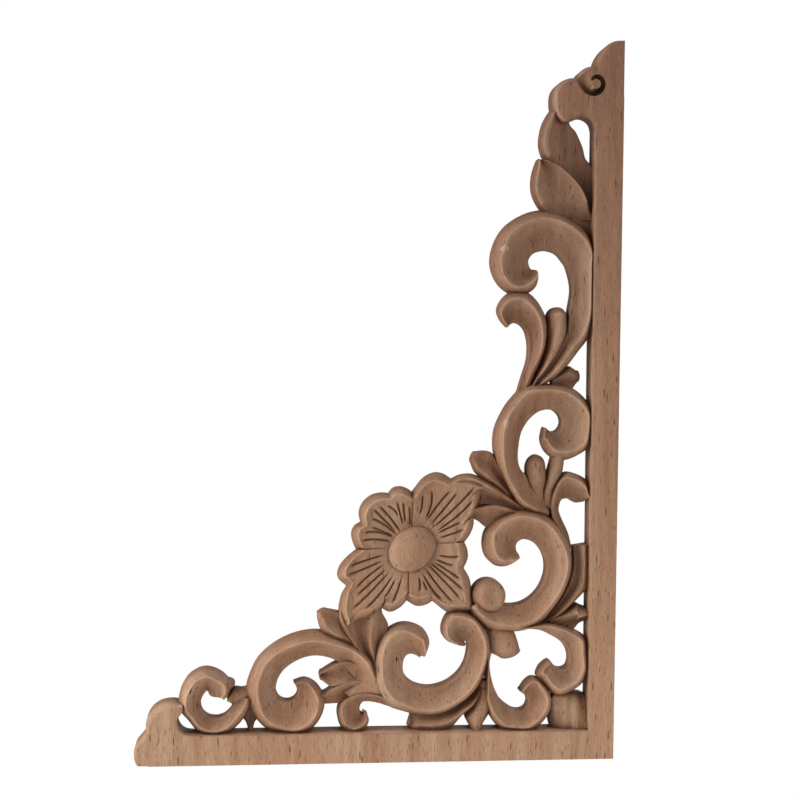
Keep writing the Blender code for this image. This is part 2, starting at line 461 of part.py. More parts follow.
ribbon("bud_3", "dome", [
    (142.6, 54, 151, 58, 1, 0.4), (142.8, 50, 154.6, 54.2, 1, 0.8), (144.4, 45.8, 156.3, 50.0, 1),
    (148.8, 43.3, 157.3, 46.6, 1)],
    top=8.8, edge=5.2, ends=(0, 2.6), drop=(0, 2.4))

# The lower middle scroll: a wide cup with a curled head at each side.
ribbon("lower_middle_scroll", "roll", [
    (132, 49.2, 134.3, 49.4, 0.8), (127.6, 49.8, 134, 49.6, 2), (124.4, 53, 133.9, 49.8, 2.8),
    (124.2, 58, 134, 50, 3), (127.2, 63, 134.2, 50.1, 3.2), (132.5, 63.4, 134.5, 50.1, 3),
    (138, 61, 134.7, 49.9, 2.2), (141.8, 56.4, 134.8, 49.5, 1.9), (144.4, 50.5, 134.9, 48.7, 1.8),
    (144.8, 44, 134.6, 45.8, 1.7), (142.8, 36.2, 133.6, 42, 1.8), (138.5, 28.6, 131, 37.8, 1.8),
    (131.6, 22.9, 126.6, 34.2, 1.7), (124.4, 19.6, 121.5, 32.3, 1.8), (116.5, 19.1, 117.2, 32, 2.2),
    (109, 20.8, 113, 33, 2.6), (102.6, 23.2, 110.4, 34.6, 3.6), (98, 28.1, 108.8, 36.6, 4.2),
    (95.6, 35, 108.1, 38.8, 4.6), (95.2, 42, 108.2, 41.4, 4.8), (97, 49.4, 108.9, 43.3, 4.4),
    (101.4, 55.7, 110, 44.5, 3.8), (107, 58.4, 111.6, 45, 4), (112.8, 57.6, 113.2, 44.7, 4.4),
    (117.4, 54.5, 114.4, 44.1, 3.5), (119.2, 49.5, 115.2, 43.6, 2.2), (118.3, 46.2, 115.7, 43.9, 1.2),
    (117.2, 44.9, 116.1, 44.0, 0.6)], inner=6.8)
ribbon("hooked_sliver", "roll", [
    (110.5, 14.4, 111.4, 20.6, 2), (116, 12, 116.5, 21, 3.8), (122.5, 11.4, 121.5, 21.4, 4.2),
    (128.8, 13.6, 126.5, 22.6, 4), (133.4, 18.4, 131, 24.6, 3), (138, 22.5, 136, 27.8, 2.4),
    (142, 30, 140, 32, 1.5, 0.6)], top=9.3, edge=5.2, inner=4.7)
ribbon("bud_4", "dome", [
    (140, 34, 144.6, 34, 1, 0.4), (137.4, 25, 147.4, 25.5, 1, 0.8), (134.4, 19.2, 144.8, 19.2, 1),
    (136, 15.2, 142.4, 15.2, 1), (137.4, 12.6, 141.2, 12.6, 1)], top=9.4, edge=5.0)

# The arch scroll spans from the flower's lower leaves down to its curl on the short bar.
ribbon("arch_scroll", "roll", [
    (98, 37, 90, 32, 2, 0.6), (94.5, 43.9, 86, 38, 2.4), (88.5, 48.9, 81.2, 42, 2.6),
    (81, 52.6, 77.4, 43.8, 3.4), (74.5, 55.4, 72.8, 44.6, 5), (68, 55.4, 68.6, 44.2, 5.2),
    (61, 53.5, 64.4, 42.7, 5), (54, 49.6, 60.9, 40.6, 4.6), (48.4, 44.2, 58.2, 38.1, 4.4),
    (45.2, 37.8, 56.4, 35, 4.6), (43.6, 31.6, 55.7, 31.6, 4.8), (44.4, 25.4, 56.2, 29.4, 4.4),
    (47.4, 19.4, 57.2, 28.1, 3.4), (52.2, 14.4, 58.8, 27.3, 3), (58.5, 12.2, 60.4, 27.1, 2.4),
    (65, 11.6, 62, 27.4, 2.3), (71, 14.4, 63.4, 28.2, 2.2), (75, 20.5, 64.3, 29.4, 2.3),
    (75.8, 26.5, 64.5, 30.6, 2.6), (73.8, 31.4, 64.2, 31.9, 2.7), (70.6, 34.6, 63.8, 32.7, 2.6),
    (67, 35.9, 63.3, 33.4, 2.0), (64.2, 35, 63, 33.7, 1)], inner=6.8)
ribbon("short_web", "dome", [
    (44.6, 28, 47, 28, 1), (42, 20, 49, 20, 1), (43.9, 16.6, 47, 16.6, 1), (45, 11, 46.3, 11, 1)],
    top=5.4, edge=4.4)
ribbon("leaf_d", "roll", [
    (87, 47.5, 92, 50, 2, 0.4), (78.5, 51.4, 86.4, 57, 2.6, 0.9), (74.3, 55, 83.6, 62.2, 2.8),
    (72.6, 59.6, 79.6, 63.6, 2.4),
    (72.5, 62.2, 75.6, 64.4, 1.5)], top=9.4, inner=6.0, ends=(0, 0.8), drop=(0, 1.5))
ribbon("leaf_e", "trough", [
    (92.5, 40, 97.5, 40, 1, 0.6), (88, 47.5, 97, 46, 1.2), (84, 54, 96.5, 54, 1.4),
    (81.4, 60.5, 97, 60, 1.4),
    (81.5, 66, 98, 66, 1.4, 0.6)], top=8.4, edge=6.4, inner=6.0, low=5.2, b2=1.2)
ribbon("leaf_f", "roll", [
    (95.5, 41, 101, 45.5, 1.4, 0.6), (93.6, 50, 101.8, 54.6, 1.4), (94.1, 56.5, 101.8, 57.8, 1.4),
    (95.4, 61.5, 99.3, 62.8, 1.2), (95.8, 67, 99.8, 67, 1.2, 0.6)], top=9.0, edge=6.0, inner=5.4)
ribbon("stem_swell", "dome", [
    (83, 31, 88.5, 25.6, 1, 0.8), (87, 35.5, 97, 26.4, 1), (91, 42, 102.6, 25.7, 1),
    (99, 47, 106, 31, 1, 0.6)],
    top=8.4, edge=5.2)
ribbon("inner_leaf", "trough", [
    (91, 41, 91, 32, 1, 0.6), (85, 43.5, 84.5, 32.4, 1), (80, 42.4, 79.2, 31.6, 1),
    (76.6, 40.5, 76.6, 33.1, 1),
    (74.6, 39.2, 74.7, 34.5, 0.8)],
    top=8.0, edge=7.0, inner=7.0, low=5.4, b2=1, ends=(0, 1.3), drop=(0, 1.2))
ribbon("cross_stalk", "roll", [
    (71.5, 30.8, 72.5, 24.1, 2), (75.2, 30.4, 75.8, 24.1, 2.2), (79, 32.7, 79, 24.2, 2.4),
    (83, 34.6, 83.5, 24.6, 2.4),
    (88, 35.8, 88, 26.5, 2.2), (93, 35.2, 93, 28, 2, 0.7)], top=8.8, edge=6.2, inner=5.2)
ribbon("small_curl", "trough", [
    (84.6, 12, 91.5, 12, 1.8), (83.5, 15.4, 92.4, 15.6, 1.8), (81.5, 19.6, 93.4, 19, 2.4),
    (80.7, 23.6, 93, 20.8, 2.8),
    (82, 27.6, 92, 22, 2.8), (86, 30.4, 91.6, 23.4, 2.2), (91, 31.2, 92.2, 25.2, 2.2),
    (96, 30.2, 94.6, 26.5, 1.7),
    (100, 28.6, 98.8, 26.2, 1, 0.6)], top=9.2, inner=6.2, low=5.8, b2=1.4)

# The small left scroll closes on itself, with broken leaf ends where it meets the arch.
ribbon("small_scroll", "roll", [
    (46.5, 28, 40, 28.5, 2, 0.7), (45, 23.4, 38.2, 25, 2.2), (41.5, 17.5, 37.3, 23.4, 2.4),
    (36.5, 13.1, 35, 21.4, 2.1),
    (30.3, 11.6, 31.7, 20.5, 2), (24.4, 13.4, 28.4, 21.1, 2), (20.5, 17.9, 26.1, 22.8, 2),
    (16.9, 22.4, 25.2, 25, 2.4),
    (16.2, 28, 25.4, 27.3, 3), (17.9, 33.6, 26.3, 29.2, 3.6), (21.5, 38.4, 27.4, 30.3, 4.2),
    (27, 40.8, 28.1, 30.1, 4.6), (32.6, 39.2, 28.6, 29.2, 4.2), (36.4, 35.6, 29, 28.5, 3),
    (37.4, 31.6, 30.2, 27.8, 2.4),
    (36.2, 28.4, 32.6, 27.5, 1.5)], inner=6.4)
ribbon("broken_lobe", "dome", [(33.4, 36.8, 33.2, 31.6, 1, 0.8), (36.8, 36, 36.6, 31.4, 1)],
    top=8.6, edge=5.4, ends=(0, 2.4), drop=(0, 1.8))
ribbon("broken_leaf", "dome", [
    (47, 33.5, 47, 25, 1, 0.8), (42, 32.1, 42, 25.2, 1), (38.8, 32.3, 38.4, 24.6, 1),
    (36.8, 30.2, 36.4, 25.6, 1)],
    top=7.2, edge=5.0, ends=(0, 0.8), drop=(0, 1.2))


def groove(name, stations):
    """A sunk channel. A station: outer x, z, inner x, z, floor height at the outer and inner side."""
    rows = even_stations(catmull(stations))
    grid = []
    for ox, oz, ix, iz, ho, hi in rows:
        u = np.array([0.0, 0.5, 1.0])
        h = ho + (hi - ho) * u**1.4
        grid.append(np.stack([ox + (ix - ox) * u, oz + (iz - oz) * u, h], -1))
    return solid(name, np.array(grid), THICK + 2.0, cutters)


# The spiral of the upper finial leaves a small ball standing in its eye.
groove("spiral", [
    (177.2, 284.4, 179.8, 287.0, 12.4, 12.6), (177.9, 282.6, 182, 286.6, 10.4, 12.3),
    (179.1, 280.3, 183.2, 283.8, 9.0, 12.2),
    (180.9, 278.4, 184.3, 281.7, 8.4, 12.2), (183, 277.3, 185.3, 280.2, 8.0, 11.4),
    (184.9, 277, 185.9, 280.1, 7.8, 9.6),
    (187, 277.5, 186.8, 280.4, 7.8, 8.8), (188.9, 279, 187.4, 280.9, 7.8, 8.6),
    (189.9, 281.4, 187.8, 281.9, 8.0, 8.6),
    (189.7, 283.9, 187.4, 283.2, 8.4, 8.8), (188.3, 285.5, 186.6, 283.9, 8.8, 9.0),
    (186.5, 286, 185.7, 284.1, 9.0, 9.2),
    (184.6, 285.5, 184.8, 283.8, 9.6, 9.8), (183.4, 284.2, 184, 283.2, 10.8, 11.2)])

# Fine cuts fan over the petals from the boss: x, z of the outer end, then of the end by the boss.
VEIN_WIDE = 0.8
VEIN_DEEP = 1.0
VEINS = [
    (91.2, 91.8, 102, 91.2), (92, 95, 103, 93), (95.2, 97.2, 103.5, 93.5), (94.9, 101, 104.5, 94.8),
    (95.7, 104.8, 103.7, 96.8),
    (98.2, 106, 106, 96.5), (101.4, 106.2, 105.3, 102.5), (105.5, 107.8, 107.8, 99.5),
    (108, 107.5, 109, 100),
    (110.5, 106, 110.9, 98.7), (115.8, 110.5, 115, 103.5), (119.5, 112.5, 117.5, 102),
    (127.3, 112.2, 118.7, 101),
    (130, 111.5, 120.5, 99.8), (137, 113.5, 121.8, 98.5), (137, 109, 123.3, 97.1),
    (131.7, 99.3, 123.4, 95.3),
    (132.8, 96.2, 124.4, 93.3), (131.3, 85.4, 124, 85.7), (129, 81.5, 122.8, 83.7), (131.8, 76, 122.5, 82),
    (133.8, 71, 120.8, 81.5), (132, 67.8, 119.8, 80.5), (129, 66.3, 118.5, 79), (124, 67.5, 117.3, 77),
    (118.3, 71.5, 116.8, 74.5), (115, 71, 114.8, 76), (86.5, 81.5, 98.5, 85.4), (85.8, 77.9, 98, 82.9),
    (89, 72.5, 99.2, 81), (89.5, 69.5, 100, 79), (87.5, 63.8, 101, 77.5), (93, 64, 102.9, 76.2),
    (100.5, 67.8, 104.5, 75),
    (104, 66.5, 107.3, 75.5)]
for number, (ax, az, bx, bz) in enumerate(VEINS):
    a = np.array([ax, az])
    b = np.array([bx, bz])
    side = unit(np.array([az - bz, bx - ax]))
    rows = []
    for t, floor, wide in ((0, 9.0, 0.3), (0.3, 7.2, 1.0), (0.7, 7.0, 1.0), (1, 8.6, 0.3)):
        c = a + (b - a) * t
        half = VEIN_WIDE / VEIN_DEEP / 2 * (THICK - floor) * wide
        rows.append([(*(c + side * half), THICK + 0.9), (*c, floor), (*(c - side * half), THICK + 0.9)])
    solid(f"vein_{number}", np.array(rows), THICK + 1.0, cutters)

# One body: every member joined to the bars, then the spiral and the veins are cut.
# The default Boolean solver left open edges where members cross, so these two steps use the MANIFOLD one.
# It gives a closed body, because every member and every cutter is closed.
onlay = bpy.data.objects["frame"]
onlay.name = "corner_onlay"
carved.objects.unlink(onlay)
bpy.context.scene.collection.objects.link(onlay)
for helper in list(carved.objects) + list(cutters.objects):
    helper.hide_render = True
    helper.display_type = "WIRE"
for name, operation, operands in (("join", "UNION", carved), ("carve", "DIFFERENCE", cutters)):
    step = onlay.modifiers.new(name, "BOOLEAN")
    step.operation = operation
    step.operand_type = "COLLECTION"
    step.collection = operands
    step.solver = "MANIFOLD"

wood = bpy.data.materials.new("bare carved wood")
wood.use_nodes = True
shader = wood.node_tree.nodes["Principled BSDF"]
shader.inputs["Base Color"].default_value = (0.62, 0.42, 0.27, 1)
shader.inputs["Roughness"].default_value = 0.75
onlay.data.materials.append(wood)
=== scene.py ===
import json
import math

import bmesh
import bpy
import numpy as np
from mathutils import Matrix, Vector

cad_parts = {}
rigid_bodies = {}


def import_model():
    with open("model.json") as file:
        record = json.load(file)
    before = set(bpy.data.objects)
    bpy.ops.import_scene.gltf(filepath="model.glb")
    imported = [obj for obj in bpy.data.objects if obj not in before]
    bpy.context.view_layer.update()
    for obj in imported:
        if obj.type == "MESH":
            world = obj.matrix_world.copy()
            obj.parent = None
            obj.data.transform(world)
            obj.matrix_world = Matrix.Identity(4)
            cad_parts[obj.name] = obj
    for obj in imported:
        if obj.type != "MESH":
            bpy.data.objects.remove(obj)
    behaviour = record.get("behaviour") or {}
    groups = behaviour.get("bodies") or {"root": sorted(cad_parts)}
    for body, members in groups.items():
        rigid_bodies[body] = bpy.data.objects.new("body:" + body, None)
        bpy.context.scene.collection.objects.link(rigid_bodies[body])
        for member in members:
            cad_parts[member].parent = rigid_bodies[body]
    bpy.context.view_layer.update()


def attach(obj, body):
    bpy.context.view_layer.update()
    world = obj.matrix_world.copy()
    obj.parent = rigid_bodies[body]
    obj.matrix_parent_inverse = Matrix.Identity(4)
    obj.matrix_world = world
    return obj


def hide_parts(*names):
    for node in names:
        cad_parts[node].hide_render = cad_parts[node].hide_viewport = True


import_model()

# The two bars of the corner are the straight edges of the board that the whole carving is cut from.
# The board is 12 mm thick; the bars keep its full thickness and flat face, with the arris just broken.
# Sizes are in millimetres: x from the short bar's free end, z from the bottom edge, height from the back.
THICK = 12.0
LONG_SIDE = 300.4
SHORT_SIDE = 197.8
FOOT = -0.25
# The frame's origin lies at the back of the corner, close to where the middle lines of the bars meet.
ORIGIN_X = 192.4
ORIGIN_Z = 5.8
# A finished curve strays from its smooth line by CHORD_ERROR and has no step over LENGTH_STEP; two steps
# that turn by more than CORNER_TURN, in radians, meet in a corner.
SPAN_STEPS = 32
CHORD_ERROR = 0.012
LENGTH_STEP = 3.0
TINY_STEP = 0.06
CORNER_TURN = 0.35


def catmull(points):
    """A smooth line through the stations, whose first four numbers are two plan points."""
    points = np.asarray(points, float)
    ends = np.vstack([2 * points[0] - points[1], points, 2 * points[-1] - points[-2]])
    out = []
    for i in range(len(points) - 1):
        p0, p1, p2, p3 = ends[i : i + 4]
        if np.allclose(p1[:4], p2[:4]):
            continue
        if np.allclose(p0[:4], p1[:4]):
            p0 = 2 * p1 - p2
        if np.allclose(p3[:4], p2[:4]):
            p3 = 2 * p2 - p1
        d0, d1, d2 = (math.sqrt(np.linalg.norm((b - a)[:4])) for a, b in ((p0, p1), (p1, p2), (p2, p3)))
        m1 = d1 * ((p1 - p0) / d0 - (p2 - p0) / (d0 + d1)) + (p2 - p1)
        m2 = d1 * ((p3 - p2) / d2 - (p3 - p1) / (d1 + d2)) + (p2 - p1)
        t = (np.arange(SPAN_STEPS) / SPAN_STEPS)[:, None]
        lead = (2 * t**3 - 3 * t**2 + 1) * p1 + (t**3 - 2 * t**2 + t) * m1
        out.append(lead + (3 * t**2 - 2 * t**3) * p2 + (t**3 - t**2) * m2)
    out.append(points[-1:])
    return np.vstack(out)


def corner(*station):
    """A station given twice, which is where the smooth line breaks off and starts again."""
    return station, station


def unit(arrow):
    """The same direction with a length of one."""
    return arrow / np.maximum(np.linalg.norm(arrow, axis=-1, keepdims=True), 1e-9)


def normals(rail, other):
    """Outward from the member, square to the rail."""
    along = unit(np.gradient(rail, axis=0))
    side = np.stack([along[:, 1], -along[:, 0]], -1)
    sign = np.sign(np.sum(side * (rail - other), -1).sum())
    return side * (sign if sign else 1.0)


def even_stations(rows, longest=LENGTH_STEP):
    """Picks stations so that straight steps keep close to the curve. Corners are kept."""
    mid = np.concatenate([rows[:, :2], rows[:, 2:4]], 1)
    step = np.diff(mid, axis=0)
    cost = np.zeros(len(step))
    corner = np.zeros(len(step), bool)
    for rail in (step[:, :2], step[:, 2:]):
        length = np.linalg.norm(rail, axis=1)
        head = np.unwrap(np.arctan2(rail[:, 1], rail[:, 0]))
        turn = np.abs(np.append(np.diff(head), 0.0)) * np.clip(length / TINY_STEP, 0.0, 1.0)
        corner |= turn > CORNER_TURN
        turn[turn > CORNER_TURN] = 0.0
        cost = np.maximum(cost, length / longest + np.sqrt(turn * length / (8 * CHORD_ERROR)))
    total = np.concatenate([[0.0], np.cumsum(cost)])
    marks = [0.0] + [total[k + 1] for k in np.flatnonzero(corner)] + [total[-1]]
    wanted = [0.0]
    for start, end in zip(marks[:-1], marks[1:]):
        if end - start > 0.01:
            steps = max(1, int(round(end - start + 0.3)))
            wanted += list(np.linspace(start, end, steps + 1)[1:])
    return np.stack([np.interp(wanted, total, rows[:, c]) for c in range(rows.shape[1])], -1)


def mesh_object(name, points, faces, collection):
    """A closed body from (x, z, height) points, moved to the frame: the carved face looks along -Y."""
    mesh = bpy.data.meshes.new(name)
    places = [((x - ORIGIN_X) / 1000, -height / 1000, (z - ORIGIN_Z) / 1000) for x, z, height in points]
    mesh.from_pydata(places, [], faces)
    bm = bmesh.new()
    bm.from_mesh(mesh)
    bmesh.ops.remove_doubles(bm, verts=bm.verts, dist=1e-7)
    bmesh.ops.triangulate(bm, faces=[f for f in bm.faces if len(f.verts) > 3])
    if bm.calc_volume(signed=True) < 0:
        bmesh.ops.reverse_faces(bm, faces=bm.faces)
    bm.to_mesh(mesh)
    bm.free()
    obj = bpy.data.objects.new(name, mesh)
    collection.objects.link(obj)
    return obj


def solid(name, grid, base, collection):
    """A closed body under a grid of (x, z, height) points, with upright walls down to the base level."""
    stations, across = grid.shape[:2]
    foot = np.concatenate([grid[:, 0], grid[:, -1]]).copy()
    foot[:, 2] = base
    points = np.concatenate([grid.reshape(-1, 3), foot])
    outer = stations * across
    inner = outer + stations
    faces = []
    for s in range(stations - 1):
        for k in range(across - 1):
            a, b = s * across + k, (s + 1) * across + k
            faces += [(a, a + 1, b), (b, a + 1, b + 1)]
        a, b = s * across, (s + 1) * across
        faces += [(a, b, outer + s), (outer + s, b, outer + s + 1)]
        a, b = a + across - 1, b + across - 1
        faces += [(b, a, inner + s), (b, inner + s, inner + s + 1)]
        faces += [(outer + s, outer + s + 1, inner + s), (inner + s, outer + s + 1, inner + s + 1)]
    faces.append([outer, inner] + [across - 1 - k for k in range(across)])
    last = outer - across
    faces.append([inner + stations - 1, outer + stations - 1] + [last + k for k in range(across)])
    return mesh_object(name, points, faces, collection)


scene = bpy.context.scene
carved = bpy.data.collections.new("carved members")
cutters = bpy.data.collections.new("gouge cuts")
scene.collection.children.link(carved)
scene.collection.children.link(cutters)
# A rounded rim falls by one and a half times its width, and is drawn in six steps.
RIM_FALL = 1.5
RIM_NARROW = 0.35
RIM_WIDE = 2.6
RIM_STEPS = 6
RIM_SHARE = 0.5
LEAST_SLANT = 0.4


def plate(name, stations):
    """A flat member of the board's full thickness.

    A station: edge x, z, far side x, z, width of the rounded rim."""
    rows = catmull(stations)
    rows[:, 1] = np.minimum(rows[:, 1], LONG_SIDE)
    out = normals(rows[:, :2], rows[:, 2:4])
    slant = np.abs(np.sum(unit(rows[:, 2:4] - rows[:, :2]) * out, -1))
    falls = np.clip(rows[:, 4], RIM_NARROW, RIM_WIDE) * RIM_FALL
    rows[:, 4] = rows[:, 4] / np.maximum(slant, LEAST_SLANT)
    rows = even_stations(np.column_stack([rows, falls]))
    turn = np.linspace(0, math.pi / 2, RIM_STEPS)
    grid = []
    for ox, oz, ix, iz, rim, fall in rows:
        width = math.hypot(ix - ox, iz - oz)
        across = np.append(min(RIM_SHARE, rim / width) * (1 - np.cos(turn)), [0.7, 1.0])
        height = np.append(THICK - fall + fall * np.sin(turn) ** 0.9, [THICK, THICK])
        grid.append(np.stack([ox + (ix - ox) * across, oz + (iz - oz) * across, height], -1))
    return solid(name, np.array(grid), 0.0, carved)


bars = plate("bars", [
    (4.2, 12.1, 4.2, FOOT, 0.8), (21.4, 12.1, 21.4, FOOT, 0.8), (60, 12.1, 60, FOOT, 0.8),
    (100, 12.1, 100, FOOT, 0.8), *corner(187, 11.8, SHORT_SIDE, FOOT, 0.8),
    (186.6, 100, SHORT_SIDE, 100, 0.8), (186.2, 200, SHORT_SIDE, 200, 0.8),
    (186.1, 277, SHORT_SIDE, 277, 0.8)])

# Each bar ends in a scalloped finial, sawn to its outline and rounded over along the rim with a flat gouge.
# The left one has a round notch behind it where the first small scroll springs from the bar.
FINIAL_CORE = 0.04


def finial(name, x0, z0, outline):
    """A scalloped plate, fanned out from its middle to x, z and rim width at each station of its outline."""
    plate(name, [
        (x, z, x0 + (x - x0) * FINIAL_CORE, z0 + (z - z0) * FINIAL_CORE, rim) for x, z, rim in outline])


finial("left finial", 7.0, 8.0, [
    (5, FOOT, 0.45), (-0.4, FOOT, 0.6), (-0.4, FOOT, 0.8), (-1.3, 1, 1.4), (-1.92, 4.1, 1.6),
    (-1.3, 7.9, 1.6), (1.2, 11.1, 1.6), *corner(3.1, 13.5, 1.2), (2.8, 16.6, 2.4), (3.6, 19.7, 2.6),
    (5.8, 22.7, 2.8), (9, 24.7, 2.8), (13.5, 25.4, 2.6), *corner(17.8, 24.6, 1.4), (17.6, 21.8, 0.5),
    (16.4, 20.2, 0.5), (15.6, 18.2, 0.5), (15.8, 16.1, 0.5), (16.9, 14.1, 0.5), (18.7, 12.7, 0.5),
    (21.4, 12.15, 0.45), (26, 12.1, 0.45)])
finial("upper finial", 188.0, 275.0, [
    (186.1, 256, 0.5), (186.1, 263.6, 0.5), (184.7, 267.2, 0.6), (181, 269, 0.8), (177.2, 267.8, 1),
    (173, 266.4, 1.2), (170.4, 268.4, 1.4), (168.8, 271, 2.2), (168.1, 275.3, 2.6), (168.7, 279.5, 2.6),
    (171.1, 282.7, 2.6), (174.8, 284.4, 2.2), *corner(178.2, 284.4, 1.4), (179.3, 287, 2.2),
    (182.3, 289.2, 2), *corner(185.6, 289.4, 1.4), (187, 293.7, 2.4), (190, 297.9, 2.4), (193.3, 300.1, 2),
    (195.6, LONG_SIDE, 1.2), *corner(SHORT_SIDE, LONG_SIDE, 0.5), (SHORT_SIDE, 280, 0.5),
    (SHORT_SIDE, 262, 0.5)])

# Two leaves stand one above the other under the upper finial, on the inner side of the long bar.
# Like every leaf and scroll they are carved down from the board: a rolled rim outside, a hollow dish inside.
# Heights from the back: a member that is pared down sinks towards STEM, the walls end at SHOULDER, the
# crisp arris stands at RIDGE and the hollow goes down to DISH.
STEM = 4.5
SHOULDER = 5.5
RIDGE = 11.0
DISH = 6.8
# The plan was read on a plane 10 mm up from the back. Each wall is moved to where it stands under the line
# of sight of an eye at these places, so far off.
EYE_X = 46.0
EYE_Z = 172.0
EYE_REACH = 593.0
READ_PLANE = 10.0


def sighted(rail, out):
    """Moves plan readings to the wall: its foot where it faces the eye, its shoulder where it faces away."""
    view = (rail - [EYE_X, EYE_Z]) * READ_PLANE / EYE_REACH
    lean = np.sum(unit(view) * out, -1)
    part = 1.0 - SHOULDER / READ_PLANE
    keep = (1.0 + part) / 2.0 - lean * (1.0 - part) / 2.0
    return rail + view * keep[:, None]


END_ANGLES = (15, 30, 45, 60, 72, 82, 88)


def rounded_end(rows, bulge):
    """Adds a half-round end of the given length to the last station."""
    last, before = rows[-1], rows[-2]
    centre = (last[:2] + last[2:4]) / 2
    ahead = unit(centre - (before[:2] + before[2:4]) / 2)
    extra = []
    for angle in np.radians(END_ANGLES):
        row = last.copy()
        middle = centre + ahead * bulge * math.sin(angle)
        row[:2] = middle + (last[:2] - centre) * math.cos(angle)
        row[2:4] = middle + (last[2:4] - centre) * math.cos(angle)
        extra.append(row)
    return np.vstack([rows, extra])


# The rolled rim stops turning just short of level, which leaves the arris. The lip is the inner edge of a
# hollow, rounded down a little; a petal has a bevel and then a small step down to its face.
RIM_TURN = 0.85
LIP = 0.7
LIP_SHARE = 0.22
LIP_FALL = 0.6
SCOOP = 0.09
SCOOP_MOST = 0.9
BEVEL = 1.3
BEVEL_SHARE = 0.34
BEVEL_TURN = 0.8
BEVEL_STEPS = 8
FACE_STEP = 0.8
FAR_SHARE = 0.45
DEEPEST_CUT = 2.0


def shoulder(part):
    """The rolled rim's rise, from its foot at 0 to the arris at 1."""
    part = np.clip(part, 0.0, 1.0)
    return np.sin(part * RIM_TURN * math.pi / 2) / math.sin(RIM_TURN * math.pi / 2)


def section(kind, width, rim, far_rim, rise, edge, top, inner, low, rows):
    """Where the rows lie over the width, and their heights: a roll and dish, a petal, a trough or a dome."""
    near = min(RIM_SHARE, rim / width)
    rolled = np.sin(np.linspace(0, math.pi / 2, RIM_STEPS)) ** 1.2
    if kind == "roll":
        lip = min(LIP_SHARE, LIP / width)
        dish = near + (1 - lip - near) * np.linspace(0, 1, rows + 1)[1:]
        across = np.concatenate([near * rolled, dish, 1 - lip * np.array([0.66, 0.33, 0.0])])
        part = np.clip((across - near) / (1 - near), 0, 1)
        scoop = min(SCOOP_MOST, SCOOP * width)
        height = inner + (top - inner) * (1 - part) ** 1.8
        height -= scoop * np.sin(math.pi * np.clip(part * 1.06, 0, 1) ** 1.25) ** 1.3
        height = np.where(across < near, edge + (top - edge) * shoulder(across / near), height)
        height -= LIP_FALL * np.clip((across - 1 + lip) / lip, 0, 1) ** 2
    elif kind == "petal":
        bevel = min(BEVEL_SHARE, (rim + BEVEL) / width)
        face = bevel + (1 - bevel) * np.linspace(0, 1, rows + 1)[1:]
        across = np.concatenate([bevel * np.linspace(0, 1, BEVEL_STEPS + 1), face])
        part = np.clip((across - bevel) / (1 - bevel), 0, 1)
        turn = np.clip(across / bevel, 0, 1) * BEVEL_TURN * math.pi / 2
        height = edge + (top - edge) * np.sin(turn) / math.sin(BEVEL_TURN * math.pi / 2)
        height -= FACE_STEP * (1 - np.exp(-part * width)) + (top - FACE_STEP - inner) * part**1.5
    elif kind == "trough":
        far = 1 - min(FAR_SHARE, far_rim / width)
        trough = np.linspace(near, far, 2 * rows + 1)[1:]
        across = np.concatenate([near * rolled, trough, (1 - (1 - far) * rolled[::-1])[1:]])
        part = np.clip((across - near) / (far - near), 0, 1)
        height = low + (top - low) * np.abs(2 * part - 1) ** 1.7
        height = np.where(across < near, edge + (top - edge) * shoulder(across / near), height)
        far_side = inner + (top - inner) * shoulder((1 - across) / (1 - far))
        height = np.where(across > far, far_side, height)
    else:
        across = (1 - np.cos(np.linspace(0, math.pi, 2 * rows + 3))) / 2
        height = edge + (top - edge) * (1 - np.abs(2 * across - 1) ** 2.4)
    return across, (STEM + (height - STEM) * rise if rise < 1.0 else height)


def member(name, kind, stations, top=RIDGE, edge=SHOULDER, inner=DISH, low=6.5, far_rim=2.0, end=0.0,
           drop=(0, 0), cuts=None, rows=9, step=LENGTH_STEP):
    """One leaf, bud or scroll, as a band between two rails with upright walls down to the back.

    A station: outer x, z, inner x, z, then the width of the rolled rim and how much of its height it has,
    which are 1 where they aren't given."""
    rails = np.array([tuple(s) + (1.0,) * (6 - len(s)) for s in stations], float)
    if end:
        rails = rounded_end(rails, end)
    rails = catmull(rails)
    rails[:, 5] = np.clip(rails[:, 5], 0.0, 1.0)
    out = normals(rails[:, :2], rails[:, 2:4])
    into = normals(rails[:, 2:4], rails[:, :2])
    moved = sighted(rails[:, :2], out)
    rails[:, 4] += np.sum((moved - rails[:, :2]) * out, -1)
    rails[:, 2:4] = sighted(rails[:, 2:4], into)
    rails[:, :2] = moved
    slant = np.abs(np.sum(unit(rails[:, 2:4] - rails[:, :2]) * out, -1))
    rails[:, 4] = np.maximum(rails[:, 4], 0.4) / np.maximum(slant, LEAST_SLANT)
    rails = even_stations(rails, longest=step)
    mid = (rails[:, :2] + rails[:, 2:4]) / 2
    run = np.concatenate([[0], np.cumsum(np.linalg.norm(np.diff(mid, axis=0), axis=1))])
    grid = []
    for k, (ox, oz, ix, iz, rim, rise) in enumerate(rails):
        width = max(math.hypot(ix - ox, iz - oz), 0.05)
        across, height = section(kind, width, rim, far_rim, rise, edge, top, inner, low, rows)
        for fall, from_end in ((drop[0], run[k]), (drop[1], run[-1] - run[k])):
            if fall and kind == "petal":
                height = height - (1 - shoulder(from_end * (0.6 + across) / fall))
            elif fall:
                height = edge + (height - edge) * shoulder(from_end / fall)
        grid.append(np.stack([ox + (ix - ox) * across, oz + (iz - oz) * across, height], -1))
    grid = np.array(grid)
    if cuts:
        grid[:, :, 2] = np.maximum(grid[:, :, 2] - cuts(grid[:, :, 0], grid[:, :, 1]), DEEPEST_CUT)
    return solid(name, grid, 0.0, carved)


